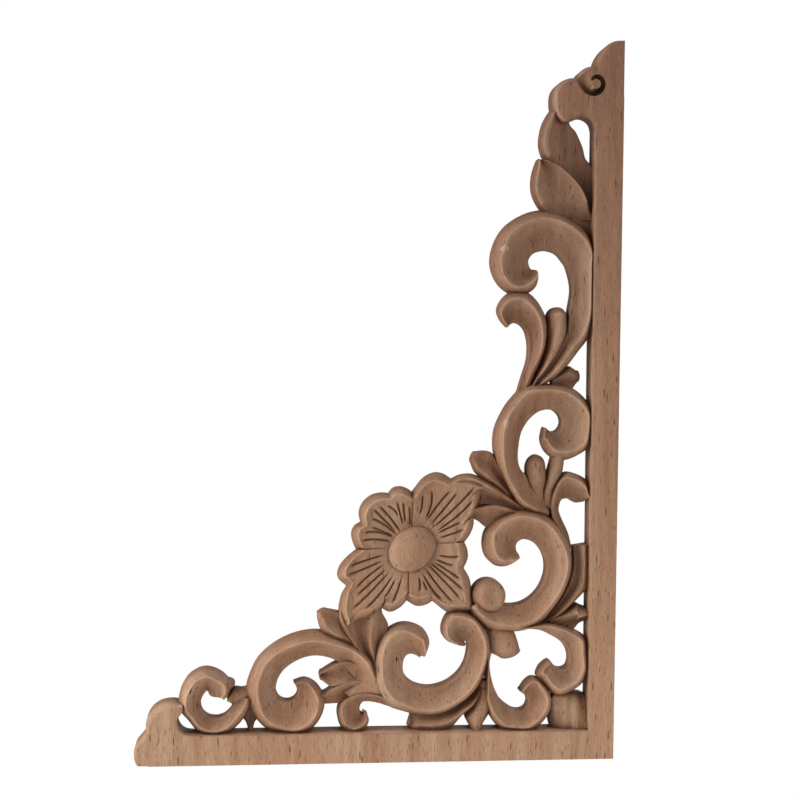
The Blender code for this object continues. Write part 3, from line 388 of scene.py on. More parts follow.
member("leaf_a", "roll", [
    (168.5, 272.5, 174.6, 268.6, 2), (165.9, 269.4, 175.4, 265.2, 2), (163.5, 264.8, 177.8, 262.5, 2.4),
    (162.4, 260.5, 179.4, 259.5, 2.5), (162.1, 256, 180.9, 256, 2.6), (163.1, 252, 182.3, 251.3, 2.4, 0.95),
    (165, 248.5, 185.5, 248, 2, 0.6), (168, 243, 187, 243, 1.5, 0.35), (172, 237, 187.5, 237, 1.5, 0.2),
    (173, 231, 187.5, 231, 1.5, 0.15), (176, 224, 187.5, 226, 1.5, 0.1), (180, 214, 187.5, 216, 1.5, 0.1)],
    top=10.5, inner=6.0)
member("leaf_b", "trough", [
    (161.5, 250.3, 163.2, 250.6, 0.8), (160.5, 247.8, 166.8, 249.2, 2), (159.4, 244, 171.8, 246.6, 2.7),
    (159, 240, 176.6, 242.6, 2.7), (159.4, 236.2, 180, 238.6, 2.7), (161.2, 232, 182.4, 234, 2.5, 0.9),
    (164, 228.5, 184, 230.2, 2, 0.5), (169, 225.5, 186, 226, 1.5, 0.15)],
    top=10.3, inner=9.4, low=7.3, far_rim=0.6, drop=(1.5, 0))

# The upper scroll starts low on the bar, rises along it and curls round to the left over its own stem.
# It was hollowed with a round gouge, so the coil is a smooth dish up to a crisp arris at its outer rim.
member("upper_scroll", "roll", [
    (163, 156, 160.3, 156, 2.5, 0.4), (169, 158.9, 162, 159, 2.5, 0.7), (174.5, 163.7, 166, 164.5, 2.8),
    (180.5, 171.5, 171, 172.2, 3), (184.8, 177.5, 174, 178.5, 2.6), (187.4, 186, 174.9, 187.4, 2.4),
    (187.5, 197, 176.1, 197.2, 2.2), (187.5, 206, 174.1, 205.6, 2.2), (187, 213.5, 172.4, 208.4, 1.8),
    (183.6, 220.5, 169.4, 211.6, 2.4), (176, 226.2, 165.6, 212.8, 2.4), (166.7, 229.5, 162.8, 212.4, 3),
    (156.8, 228, 160.3, 211.4, 3.6), (147.8, 221.9, 159, 209.8, 4.2), (143.1, 213.2, 158.6, 208.4, 5.2),
    (142.5, 205.5, 158.8, 207, 5.2), (145.8, 198.5, 159.1, 206.2, 4.4), (151.5, 194.6, 159.4, 205.6, 3.8),
    (157.6, 194.8, 159.7, 205.2, 3.4), (161.8, 197.8, 160.1, 204.9, 2.2), (163, 201.6, 160.5, 204.9, 1.2),
    (161.8, 204.1, 160.7, 204.9, 0.8)])

# Below it a leaf curls away to the left beside a plump middle lobe, with a small bud against the bar.
# The lobe has one soft flute down its middle.
member("curl_leaf", "roll", [
    (160.5, 155, 154, 153.5, 1.5, 0.3), (162, 160.5, 156.2, 161, 1.5, 0.6),
    (164.6, 166.5, 158, 167, 1.5, 0.85), (166.6, 173, 158.4, 173, 1.5), (167.2, 179, 157.6, 178, 1.8),
    (166.8, 184, 156.4, 180.6, 2.2), (165, 188.5, 155, 182, 2.4), (161.8, 193, 153.8, 182.6, 2.8),
    (157.5, 196, 152.8, 182.7, 3.2), (152.5, 196, 151.9, 182.5, 3.2), (148.1, 193.2, 151.3, 182.1, 2.6),
    (145.4, 188, 150.9, 181.7, 2.3), (146.6, 184.2, 150.6, 181.3, 2), (149.2, 181.2, 150.3, 180.9)],
    top=10.2, inner=6.3)
member("middle_lobe", "dome", [
    (158.8, 155, 161, 155, 1, 0.5), (161.3, 160.5, 164.2, 160, 1, 0.8), (164.2, 167, 168.9, 166.2),
    (165.6, 173, 172.3, 171.2), (166, 179, 175.4, 178), (166, 184.8, 175.4, 185.5)],
    top=9.9, edge=5.0, end=4.4, drop=(0, 3.0),
    cuts=lambda x, z: 0.8 * np.exp(-(((x - 170.6 - 0.28 * (z - 183)) / 1.1) ** 2)) * np.clip(
        (188 - z) / 4, 0, 1))
member("bud_1", "roll", [
    (168, 160.5, 170, 154.5, 2.6, 0.5), (172, 163, 173, 154.5, 2.8, 0.8), (176.2, 165.1, 177.5, 155.2, 3),
    (179.4, 163.4, 180.4, 158.6, 2.2)], top=8.8, edge=5.0, inner=5.6, end=1.5, drop=(0, 3.2))

# The middle scroll is the widest of the long side, with a bud behind it and a small leaf and stalk in front.
member("middle_scroll", "roll", [
    (168, 101.5, 168.5, 108, 2.5, 0.5), (161.8, 103.6, 164.5, 111, 2.2, 0.8), (156, 107.2, 161, 114.5, 2.3),
    (152, 112.6, 159, 119, 2.5), (148.6, 119, 156.3, 122.4, 2.6), (146, 125, 155.4, 126.5, 3.6),
    (144.6, 131.5, 155.6, 131, 4.6), (145, 138.5, 156.6, 137, 4.6), (147.6, 145, 159.2, 141.9, 3.8),
    (151.3, 150.8, 162.2, 145, 3.6), (157.5, 156.6, 165, 146.6, 3.2), (165, 157.8, 167.6, 147, 2.8),
    (172.5, 157.4, 169.8, 146.5, 2.6), (178.6, 155.6, 171.4, 145.1, 2.6), (184, 151, 172.3, 143.4, 2.2),
    (187.3, 146, 172.5, 141.6, 2.3), (187.5, 138, 172, 139.8, 2.3), (185.8, 131.8, 170.8, 138.3, 2.2),
    (181.4, 128.3, 169.4, 137.8, 2.2), (175.5, 126, 168.2, 138.2, 3.4), (170, 126.7, 167.3, 138.9, 3.7),
    (166.2, 130, 166.7, 139.3, 3.7), (164.4, 134.5, 166.3, 139.5, 2.2), (164.9, 138.4, 165.9, 139.6)])
member("left_bud", "roll", [
    (152, 108.5, 152.5, 117, 2.5, 0.4), (146.5, 113.5, 148.2, 121.5, 2.6, 0.7),
    (141.5, 116.8, 144.5, 128.6, 2.8), (137.2, 120.8, 140.4, 129.6, 2.6), (135.4, 124.8, 137.4, 129.3, 2)],
    top=9.0, edge=4.8, inner=5.6, end=1.2, drop=(0, 3.6))
member("small_leaf", "dome", [
    (164.5, 108, 167.5, 108, 1, 0.3), (161, 112, 167, 113, 1, 0.6), (158.6, 117.5, 167.8, 117.6),
    (158.3, 122.2, 167.3, 123.2)], top=8.6, edge=5.0, end=5.4, drop=(0, 3.0))
member("stalk", "dome", [
    (166, 106, 171.5, 106, 1, 0.4), (165.5, 113, 171.5, 113, 1, 0.7), (166.6, 118.5, 174, 118.5),
    (168, 123.6, 175, 123.6), (169.4, 129, 175.4, 129)], top=8.4, edge=5.2)
member("right_curl", "roll", [
    (175.5, 88.5, 179.1, 88.5, 1.2, 0.4), (173.4, 95.6, 177.3, 95.2, 1.2, 0.5),
    (169.6, 101.2, 174.7, 100.6, 1.5, 0.6), (168.4, 107, 173.3, 104.6, 2.2, 0.8),
    (169.4, 113, 174, 108.3, 2.6), (171.5, 118, 175.2, 109.6, 2.8), (175, 120.8, 177, 109.6, 2.6),
    (180.5, 120, 178.6, 108.5, 2.4), (184.8, 117.3, 180.5, 108, 2.2), (187.3, 113, 183.5, 108.4, 2)],
    top=9.8, inner=5.5)

# The flower is four broad petals round a domed boss. Each rim is scalloped, with sharp notches between lobes.
# Its face is a shallow dish inside a bevelled rim, and flutes cut with a veining tool fan out from the boss.
# Each flute: x, z of the outer end, x, z of the end by the boss.
FLUTES = [
    (91.2, 91.8, 102, 91.2), (92, 95, 103, 93), (95.2, 97.2, 103.5, 93.5), (94.9, 101, 104.5, 94.8),
    (95.7, 104.8, 103.7, 96.8), (98.2, 106, 106, 96.5), (101.4, 106.2, 105.3, 102.5),
    (105.5, 107.8, 107.8, 99.5), (108, 107.5, 109, 100), (110.5, 106, 110.9, 98.7),
    (115.8, 110.5, 115, 103.5), (119.5, 112.5, 117.5, 102), (127.3, 112.2, 118.7, 101),
    (130, 111.5, 120.5, 99.8), (137, 113.5, 121.8, 98.5), (137, 109, 123.3, 97.1),
    (131.7, 99.3, 123.4, 95.3), (132.8, 96.2, 124.4, 93.3), (131.3, 85.4, 124, 85.7),
    (129, 81.5, 122.8, 83.7), (131.8, 76, 122.5, 82), (133.8, 71, 120.8, 81.5), (132, 67.8, 119.8, 80.5),
    (129, 66.3, 118.5, 79), (124, 67.5, 117.3, 77), (118.3, 71.5, 116.8, 74.5), (115, 71, 114.8, 76),
    (86.5, 81.5, 98.5, 85.4), (85.8, 77.9, 98, 82.9), (89, 72.5, 99.2, 81), (89.5, 69.5, 100, 79),
    (87.5, 63.8, 101, 77.5), (93, 64, 102.9, 76.2), (100.5, 67.8, 104.5, 75), (104, 66.5, 107.3, 75.5)]
FLUTE_HALF = 0.42
FLUTE_DEEP = 1.15
FLUTE_STEPS = 12
# Both ends run on past their points, the bend is a share of the length, and both ends taper.
FLUTE_OUT = 0.05
FLUTE_IN = 0.14
FLUTE_BEND = 0.62
FLUTE_TAPER = 0.16
BOSS_X = 111.2
BOSS_Z = 89.0
# The petals dip in a soft ring round the boss.
DIP_DEEP = 1.2
DIP_RADIUS = 9.0
DIP_HALF = 4.0


def flutes(x, z):
    """How deep the flutes are at the plan points. Each leaves the boss squarely and bends towards the tip."""
    deep = np.zeros_like(x)
    step = np.linspace(0, 1, FLUTE_STEPS + 1)
    for ax, az, bx, bz in FLUTES:
        reach_x, reach_z = bx - ax, bz - az
        ax, az = ax - reach_x * FLUTE_OUT, az - reach_z * FLUTE_OUT
        bx, bz = bx + reach_x * FLUTE_IN, bz + reach_z * FLUTE_IN
        length = math.hypot(bx - ax, bz - az)
        away = unit(np.array([bx - BOSS_X, bz - BOSS_Z])) * length * FLUTE_BEND
        line = np.outer((1 - step) ** 2, [bx, bz])
        line += np.outer(2 * step * (1 - step), [bx + away[0], bz + away[1]])
        line += np.outer(step**2, [ax, az])
        nearest = np.full(x.shape, np.inf)
        where = np.zeros_like(x)
        for k in range(FLUTE_STEPS):
            (px, pz), (qx, qz) = line[k], line[k + 1]
            along = (x - px) * (qx - px) + (z - pz) * (qz - pz)
            part = np.clip(along / ((qx - px) ** 2 + (qz - pz) ** 2), 0, 1)
            gap = np.hypot(x - px - part * (qx - px), z - pz - part * (qz - pz))
            closer = gap < nearest
            nearest = np.where(closer, gap, nearest)
            where = np.where(closer, (k + part) / FLUTE_STEPS, where)
        taper = np.clip(where / FLUTE_TAPER, 0.15, 1) * np.clip((1.03 - where) / FLUTE_TAPER, 0, 1)
        half = FLUTE_HALF * (0.7 + 0.5 * where)
        deep = np.maximum(deep, FLUTE_DEEP * taper * np.exp(-((nearest / half) ** 2)))
    return deep


def hollowed(x, z):
    """How far the petals are cut down at the plan points: the dip round the boss and the flutes in it."""
    from_boss = np.hypot(x - BOSS_X, z - BOSS_Z)
    return flutes(x, z) + DIP_DEEP * np.exp(-(((from_boss - DIP_RADIUS) / DIP_HALF) ** 2))


def petal(name, drop, stations):
    """A petal with rows close enough together to hold the flutes."""
    member(name, "petal", stations, top=9.9, edge=5.6, inner=8.6, drop=drop,
           cuts=hollowed, rows=34, step=0.45)


petal("petal_upper_left", (2.0, 1.2), [
    (88.5, 88, 104, 86, 2, 0.72), (86.9, 91.6, 103.5, 87.5, 2.2, 0.9), (86.3, 95.6, 103.6, 89, 2.2),
    (87.6, 98.6, 104, 90.5, 1.8), *corner(89.9, 100, 104.6, 92, 1.2), (89.3, 104, 105.5, 93, 2.2),
    (90.7, 108, 106.4, 94, 2.4), (94.2, 111.1, 107.2, 94.6, 2.4), (98.2, 112.1, 108, 95, 1.8),
    *corner(101.2, 111.9, 108.6, 95.4, 1.2), (103.2, 114.1, 109.2, 95.6, 2.2),
    (106.4, 114.7, 110, 95.8, 2.4), (109.4, 113.7, 110.6, 96, 2), (111.3, 112.4, 111.2, 96, 1.2)])
petal("petal_upper_right", (1.2, 2.0), [
    (110.9, 112.2, 111, 96, 1.2), (112.4, 114.3, 111.8, 96, 2.2), (115.8, 118.4, 113, 96, 2.4),
    (120.6, 120.5, 114.6, 96, 2.4), (124.6, 119.8, 115.6, 95.6, 2.2), *corner(127.4, 118, 116.4, 95.2, 1.4),
    (130.6, 119.3, 116.8, 94.8, 2.4), (136, 118.9, 117.4, 94.2, 2.6),
    *corner(141.6, 116.4, 117.8, 93.6, 1.6), (140, 111.4, 118, 93, 1.4), (138.8, 106.4, 118.2, 92.4, 1.4),
    *corner(136.9, 102.6, 118.4, 91.8, 1.2), (137.2, 98.8, 118.4, 91, 2.2), (136, 95, 118.2, 90, 2.2, 0.9),
    (133.2, 90.6, 117.8, 88, 2, 0.72)])
petal("petal_lower_right", (0, 1.2), [
    (133.2, 91.8, 118.4, 91.6, 1.4), (134.6, 88.4, 118, 88.6, 2.2), (134.9, 84.6, 117.6, 87, 2.2),
    *corner(133.3, 80.6, 117, 86, 1.4), (135.6, 76.4, 116.4, 85, 2.2), (136.8, 70.6, 115.6, 84.4, 2.2),
    *corner(138.3, 62.6, 114.6, 83.8, 2), (132.6, 61.9, 113.8, 83.4, 2.2), (126.6, 62.4, 112.8, 83, 2.2),
    *corner(120.4, 66.9, 111.8, 82.6, 1.2), (117.9, 65.4, 111, 82.4, 2.2), (114, 64.9, 110.2, 82.2, 2.4),
    (109.4, 67.2, 109.4, 82, 1.4)])
petal("petal_lower_left", (1.2, 0), [
    (109.8, 67.2, 109.6, 82, 1.4), (107.2, 64.5, 108.8, 82, 2.2), (103, 62.5, 108, 82.2, 2.4),
    *corner(99, 64.2, 107.4, 82.4, 1.4), (94.6, 60.8, 106.8, 82.8, 2), (89, 58.8, 106.2, 83.2, 2),
    *corner(83.6, 56.4, 105.6, 83.8, 1.6), (81.6, 62.6, 105.2, 84.4, 2), (82.3, 69.4, 104.8, 85, 2),
    *corner(84.4, 73.5, 104.4, 85.6, 1.2), (80.8, 77.2, 104.2, 86.4, 2.2), (81.4, 81.4, 104, 87.4, 2.2),
    (84.4, 85.4, 104, 88.4, 2), (89, 89.3, 104.4, 89.4, 1.4)])


KNOB_SIDES = 48
KNOB_RINGS = 11
KNOB_LEAN = 0.6


def knob(name, x, z, long, wide, tilt, top, edge, dish=0.0):
    """A domed oval on its own upright wall; a dish hollows its middle a little to the right."""
    view = np.array([x - EYE_X, z - EYE_Z]) * READ_PLANE / EYE_REACH * KNOB_LEAN
    rings = np.sin(np.linspace(0, math.pi / 2, KNOB_RINGS + 1))[1:]
    cos, sin = math.cos(tilt), math.sin(tilt)
    points = [(x + view[0], z + view[1], top - dish * math.exp(-0.23))]
    for ring in rings:
        for turn in np.arange(KNOB_SIDES) * 2 * math.pi / KNOB_SIDES:
            a, b = long * ring * math.cos(turn), wide * ring * math.sin(turn)
            height = edge + (top - edge) * math.sqrt(1 - 0.96 * ring**2.2)
            height -= dish * math.exp(-((a - 0.2 * long) ** 2 + b * b) / (0.42 * long) ** 2)
            points.append((x + view[0] + a * cos - b * sin, z + view[1] + a * sin + b * cos, height))
    points += [(px, pz, 0.0) for px, pz, _ in points[-KNOB_SIDES:]]
    faces = [(0, 1 + k, 1 + (k + 1) % KNOB_SIDES) for k in range(KNOB_SIDES)]
    for ring in range(KNOB_RINGS):
        for k in range(KNOB_SIDES):
            a, b = 1 + ring * KNOB_SIDES + k, 1 + ring * KNOB_SIDES + (k + 1) % KNOB_SIDES
            faces += [(b, a, a + KNOB_SIDES), (b, a + KNOB_SIDES, b + KNOB_SIDES)]
    first = 1 + KNOB_RINGS * KNOB_SIDES
    faces.append([first + k for k in range(KNOB_SIDES)][::-1])
    return mesh_object(name, points, faces, carved)


knob("flower_boss", BOSS_X, BOSS_Z, 10.6, 8.6, 0.72, 11.2, 7.4)

# From the upper right petal a stem runs into the middle scroll, with a slim leaf under it.
# Both are pared down below the petal, so that the flower stands in front of them.
member("petal_stem", "roll", [
    (126.5, 116.6, 131, 104, 2.4), (130, 119.3, 135, 104.5, 2.2), (136, 119.9, 138.6, 106, 2),
    (142, 117.4, 142, 107, 1.8), (147.6, 114, 147, 106.4, 1.5, 0.8), (153, 110.4, 152.5, 104, 1.2, 0.6),
    (158, 107, 158, 102.6, 1, 0.4)], top=9.8, inner=5.2)
member("leaf_c", "roll", [
    (133.5, 106, 134.5, 102, 1, 0.6), (139.6, 107, 138.8, 100.4), (144.9, 107.7, 143.2, 97.3, 1.2),
    (150, 106.8, 149, 98.5, 1.2), (155, 104.8, 155, 99.5, 1, 0.6)], top=9.2, edge=6.0, inner=5.2)

# The right scroll sweeps from its curl over the top, down beside the bar and back under the ball in its end.
# A leaf and a bud fill the space between it and the long bar.
member("right_scroll", "roll", [
    (155.9, 84.6, 156.1, 86.6, 0.8), (154.2, 82.6, 155.6, 87.2, 1.5), (150.4, 81.3, 155.2, 88, 3),
    (146, 82, 155.1, 88.7, 3.6), (142.1, 85.8, 155, 89.5, 4.6), (140.7, 91.4, 155.3, 90.5, 5.3),
    (141.7, 96.8, 156, 91.6, 4.8), (145, 100.4, 156.8, 92.2, 4), (149.6, 103.4, 157.7, 92.7, 3.4),
    (155, 105.2, 158.8, 92.8, 3.2), (162, 105, 160.5, 92.4, 3.2), (169.6, 101.8, 163.3, 90.7, 3),
    (175.4, 95.1, 165.7, 87.6, 2.6), (178.7, 86.6, 167, 83.4, 1.9), (178.9, 79, 166.8, 78.6, 1.8),
    (176.2, 70.8, 164.6, 73.1, 1.8), (171.6, 63.4, 161, 69, 1.9, 0.9),
    (165.6, 56.8, 157.1, 66.7, 2.2, 0.85), (158.5, 54.2, 153.7, 65.9, 2.6, 0.85),
    (151.5, 54, 149.6, 66, 2.6), (144.6, 54.9, 146.8, 66.5, 3.2), (138.6, 59, 144.6, 67.5, 3.4),
    (134.8, 65, 142.5, 69.2, 2.6)])
knob("ball", 143.6, 69.2, 7.2, 7.2, 0.3, 10.9, 5.8, dish=1.3)
member("bar_leaf", "roll", [
    (187.3, 90.9, 178.6, 90.3, 4), (187.5, 81, 178.9, 82, 4), (187.4, 73.4, 177.6, 76, 4),
    (184.2, 69.9, 176, 72, 3.4), (180.6, 66.2, 173, 67, 3.2), (175.5, 61.2, 169, 62, 2.6, 0.8),
    (169, 57.6, 165.5, 59, 2, 0.4)], top=9.0, inner=4.8)
member("bud_2", "roll", [
    (169, 60, 170, 54.6, 2.4, 0.4), (175, 63, 176, 52.6, 4, 0.8), (180.3, 66, 180.8, 54.6, 5),
    (183, 64.9, 183, 57, 4), (187.5, 63.4, 187.5, 58.8, 2.4)], top=9.5, edge=5.0, inner=4.8)

# The corner scroll and the lower scroll meet beside the fan leaf that fills the corner of the bars.
# Both curl inwards, and the fan leaf is ridged with a few upright cuts.
member("corner_scroll", "roll", [
    (152.5, 56.5, 153.5, 54, 1.2, 0.4), (160, 57.4, 160, 54.9, 1.2, 0.7), (167, 58.2, 165.8, 54.6, 1.8),
    (172.8, 57.3, 170, 52.7, 2), (179.6, 55, 173.6, 50.5, 2.2), (185.5, 51.2, 176.3, 47.6, 2.6),
    (187.2, 44, 177.5, 44, 2.8), (187.6, 37.4, 177, 40.8, 2.8), (185, 32.3, 175.8, 39.4, 2.3),
    (181.3, 29.2, 174.4, 38.9, 2.2), (175, 26.6, 172.8, 39, 2.6), (169.8, 28.8, 171.6, 39.8, 3.2),
    (166.6, 32.6, 171, 40.6, 3.4), (164.2, 36, 170.5, 41.4, 3.6), (165.3, 39.7, 169.9, 41.9, 2.8),
    (167.4, 41.8, 169.4, 42.2, 1.4)])
member("lower_scroll", "roll", [
    (142.5, 47, 145.9, 46.5, 1, 0.7), (142.6, 40, 144.6, 40, 0.9, 0.9), (142.7, 32, 145.9, 32.4, 1.2),
    (142.8, 24.8, 148.2, 27.2, 2.2), (145.4, 17.7, 150.6, 24.4, 2.6), (150, 13.1, 153.6, 22.3, 2.1),
    (156.4, 11.4, 156, 21.7, 2.2), (162, 11.4, 158.2, 22.2, 2.2), (167, 14.6, 159.6, 23.4, 2.2),
    (170.6, 19.8, 160.2, 24.8, 1.9), (171.2, 25, 160.3, 25.9, 1.6), (169.2, 30.2, 159.9, 27, 1.6),
    (165.4, 34.4, 159.1, 27.9, 2.2), (161.5, 35.1, 158.3, 28.4, 2), (158.6, 32.7, 157.7, 28.8, 1.6),
    (157.6, 30, 157.4, 28.9, 0.5)], inner=6.6)
member("corner_leaf", "dome", [
    (168.5, 25, 172.5, 29.2, 1, 0.5), (169.4, 20.5, 178.5, 29, 1, 0.9), (169.8, 16.8, 183.2, 28.4),
    (171.8, 12.4, 187.5, 25), (181, 9.5, 188.5, 17)], top=9.4, edge=5.0, rows=14, step=1.0,
    cuts=lambda x, z: 0.55 * (0.5 + 0.5 * np.cos(2 * math.pi * (x - 180) / 5)) * np.clip(
        (x - 172) / 3, 0, 1))
member("bud_3", "dome", [
    (142.6, 54, 151, 58, 1, 0.4), (142.8, 50, 154.6, 54.2, 1, 0.8), (144.4, 45.8, 156.3, 50),
    (148.8, 43.3, 157.3, 46.6)], top=8.8, edge=5.2, end=2.6, drop=(0, 4.2))

# The lower middle scroll is a wide cup with a curled head at each side, and a hooked sliver under it.
member("lower_middle_scroll", "roll", [
    (132, 49.2, 134.3, 49.4, 0.8), (127.6, 49.8, 134, 49.6, 2), (124.4, 53, 133.9, 49.8, 2.8),
    (124.2, 58, 134, 50, 3), (127.2, 63, 134.2, 50.1, 3.2), (132.5, 63.4, 134.5, 50.1, 3),
    (138, 61, 134.7, 49.9, 2.2), (141.8, 56.4, 134.8, 49.5, 1.9), (144.4, 50.5, 134.9, 48.7, 1.8),
    (144.8, 44, 134.6, 45.8, 1.7), (142.8, 36.2, 133.6, 42, 1.8), (138.5, 28.6, 131, 37.8, 1.8),
    (131.6, 22.9, 126.6, 34.2, 1.7), (124.4, 19.6, 121.5, 32.3, 1.8), (116.5, 19.1, 117.2, 32, 2.2),
    (109, 20.8, 113, 33, 2.6), (102.6, 23.2, 110.4, 34.6, 3.6), (98, 28.1, 108.8, 36.6, 4.2),
    (95.6, 35, 108.1, 38.8, 4.6), (95.2, 42, 108.2, 41.4, 4.8), (97, 49.4, 108.9, 43.3, 4.4),
    (101.4, 55.7, 110, 44.5, 3.8), (107, 58.4, 111.6, 45, 4), (112.8, 57.6, 113.2, 44.7, 4.4),
    (117.4, 54.5, 114.4, 44.1, 3.5), (119.2, 49.5, 115.2, 43.6, 2.2), (118.3, 46.2, 115.7, 43.9, 1.2),
    (117.2, 44.9, 116.1, 44, 0.6)])
member("hooked_sliver", "roll", [
    (110.5, 14.4, 111.4, 20.6, 2), (116, 12, 116.5, 21, 3.8), (122.5, 11.4, 121.5, 21.4, 4.2),
    (128.8, 13.6, 126.5, 22.6, 4), (133.4, 18.4, 131, 24.6, 3), (138, 22.5, 136, 27.8, 2.4),
    (142, 30, 140, 32, 1.5, 0.6)], top=9.3, edge=5.2, inner=4.7, rows=12, step=0.8,
    cuts=lambda x, z: 3.4 * np.exp(-(((x - 113.2) / 2.0) ** 2) - ((z - 15.2) / 1.7) ** 2))
member("bud_4", "dome", [
    (140, 34, 144.6, 34, 1, 0.4), (137.4, 25, 147.4, 25.5, 1, 0.8), (134.4, 19.2, 144.8, 19.2),
    (136, 15.2, 142.4, 15.2), (137.4, 12.6, 141.2, 12.6)], top=9.4, edge=5.0)

# The arch scroll spans from the flower's lower leaves down to its curl on the short bar.
# Small leaves and a cross stalk tie it to the cup beside it and to the bar.
member("arch_scroll", "roll", [
    (98, 37, 90, 32, 2, 0.6), (94.5, 43.9, 86, 38, 2.4), (88.5, 48.9, 81.2, 42, 2.6),
    (81, 52.6, 77.4, 43.8, 3.4), (74.5, 55.4, 72.8, 44.6, 5), (68, 55.4, 68.6, 44.2, 5.2),
    (61, 53.5, 64.4, 42.7, 5), (54, 49.6, 60.9, 40.6, 4.6), (48.4, 44.2, 58.2, 38.1, 4.4),
    (45.2, 37.8, 56.4, 35, 4.6), (43.6, 31.6, 55.7, 31.6, 4.8), (44.4, 25.4, 56.2, 29.4, 4.4),
    (47.4, 19.4, 57.2, 28.1, 3.4), (52.2, 14.4, 58.8, 27.3, 3), (58.5, 12.2, 60.4, 27.1, 2.4),
    (65, 11.6, 62, 27.4, 2.3), (71, 14.4, 63.4, 28.2, 2.2), (75, 20.5, 64.3, 29.4, 2.3),
    (75.8, 26.5, 64.5, 30.6, 2.6), (73.8, 31.4, 64.2, 31.9, 2.7), (70.6, 34.6, 63.8, 32.7, 2.6),
    (67, 35.9, 63.3, 33.4, 2), (64.2, 35, 63, 33.7)])
member("short_web", "dome", [
    (44.6, 28, 47, 28), (42, 20, 49, 20), (43.9, 16.6, 47, 16.6), (45, 11, 46.3, 11)], top=5.4, edge=4.4)
member("leaf_d", "roll", [
    (87, 47.5, 92, 50, 2, 0.4), (78.5, 51.4, 86.4, 57, 2.6, 0.9), (74.3, 55, 83.6, 62.2, 2.8),
    (72.6, 59.6, 79.6, 63.6, 2.4), (72.5, 62.2, 75.6, 64.4, 1.5)],
    top=9.4, inner=6.0, end=0.8, drop=(0, 3.4))
member("leaf_e", "trough", [
    (92.5, 40, 97.5, 40, 1, 0.6), (88, 47.5, 97, 46, 1.2), (84, 54, 96.5, 54, 1.4),
    (81.4, 60.5, 97, 60, 1.4), (81.5, 66, 98, 66, 1.4, 0.6)],
    top=8.4, edge=6.4, inner=6.0, low=5.2, far_rim=1.2)
member("leaf_f", "roll", [
    (95.5, 41, 101, 45.5, 1.4, 0.6), (93.6, 50, 101.8, 54.6, 1.4), (94.1, 56.5, 101.8, 57.8, 1.4),
    (95.4, 61.5, 99.3, 62.8, 1.2), (95.8, 67, 99.8, 67, 1.2, 0.6)], top=9.0, edge=6.0, inner=5.4)
member("stem_swell", "dome", [
    (83, 31, 88.5, 25.6, 1, 0.8), (87, 35.5, 97, 26.4), (91, 42, 102.6, 25.7), (99, 47, 106, 31, 1, 0.6)],
    top=8.4, edge=5.2)
member("inner_leaf", "trough", [
    (91, 41, 91, 32, 1, 0.6), (85, 43.5, 84.5, 32.4), (80, 42.4, 79.2, 31.6), (76.6, 40.5, 76.6, 33.1),
    (74.6, 39.2, 74.7, 34.5, 0.8)],
    top=8.0, edge=7.0, inner=7.0, low=5.4, far_rim=1, end=1.3, drop=(0, 1.2))
member("cross_stalk", "roll", [
    (71.5, 30.8, 72.5, 24.1, 2), (75.2, 30.4, 75.8, 24.1, 2.2), (79, 32.7, 79, 24.2, 2.4),
    (83, 34.6, 83.5, 24.6, 2.4), (88, 35.8, 88, 26.5, 2.2), (93, 35.2, 93, 28, 2, 0.7)],
    top=8.8, edge=6.2, inner=5.2)
member("small_curl", "roll", [
    (104, 26.8, 103, 22.8, 1, 0.5), (98.5, 29.3, 97.2, 24.6, 1.2, 0.8), (91.4, 30.6, 92.4, 25, 1.8),
    (85.6, 28.8, 90.8, 23.8, 2.2), (81.8, 25, 90.4, 22.6, 2.4), (81, 20.4, 90.4, 21.8, 2.4),
    (82.8, 14.8, 90.8, 21.2, 2.2), (87.2, 11.6, 91.2, 21, 2), (92, 12.8, 91.5, 21, 1.8),
    (94.3, 17, 91.7, 21.2, 1.6), (93.6, 20.4, 91.6, 21.6)], top=9.2, edge=5.2, inner=5.8)
member("curl_foot", "dome", [
    (83.4, 18, 92.6, 18, 1, 0.7), (84.2, 14.6, 92, 14.6, 1, 0.7), (84.6, 11.5, 91.5, 11.5, 1, 0.7)],
    top=7.0, edge=5.0)

# The small left scroll closes on itself. Its outer leaf has broken off where it meets the arch,
# and the stub was left rough, with short gouge marks round it.
member("small_scroll", "roll", [
    (46.5, 28, 40, 28.5, 2, 0.7), (45, 23.4, 38.2, 25, 2.2), (41.5, 17.5, 37.3, 23.4, 2.4),
    (36.5, 13.1, 35, 21.4, 2.1), (30.3, 11.6, 31.7, 20.5, 2), (24.4, 13.4, 28.4, 21.1, 2),
    (20.5, 17.9, 26.1, 22.8, 2), (16.9, 22.4, 25.2, 25, 2.4), (16.2, 28, 25.4, 27.3, 3),
    (17.9, 33.6, 26.3, 29.2, 3.6), (21.5, 38.4, 27.4, 30.3, 4.2), (27, 40.8, 28.1, 30.1, 4.6),
    (32.6, 39.2, 28.6, 29.2, 4.2), (36.4, 35.6, 29, 28.5, 3), (37.4, 31.6, 30.2, 27.8, 2.4),
    (36.2, 28.4, 32.6, 27.5, 1.5)], inner=6.4)
member("broken_lobe", "dome", [(33.4, 36.8, 33.2, 31.6, 1, 0.8), (36.8, 36, 36.6, 31.4)],
    top=8.6, edge=5.4, end=2.4, drop=(0, 2.6))
member("broken_leaf", "dome", [
    (47, 33.5, 47, 25, 1, 0.8), (42, 32.1, 42, 25.2), (38.8, 32.3, 38.4, 24.6), (36.8, 30.2, 36.4, 25.6)],
    top=7.2, edge=5.0, end=0.8, drop=(0, 1.2))

# Thin waste wood was left low down between three pairs of members, so no light shows there.
WEB_RADIUS = 1.7
for number, (x, z) in enumerate([(153.5, 110.2), (170.4, 101.3), (143.9, 54.1)]):
    knob(f"web {number}", x, z, WEB_RADIUS, WEB_RADIUS, 0.0, 5.0, 4.2)

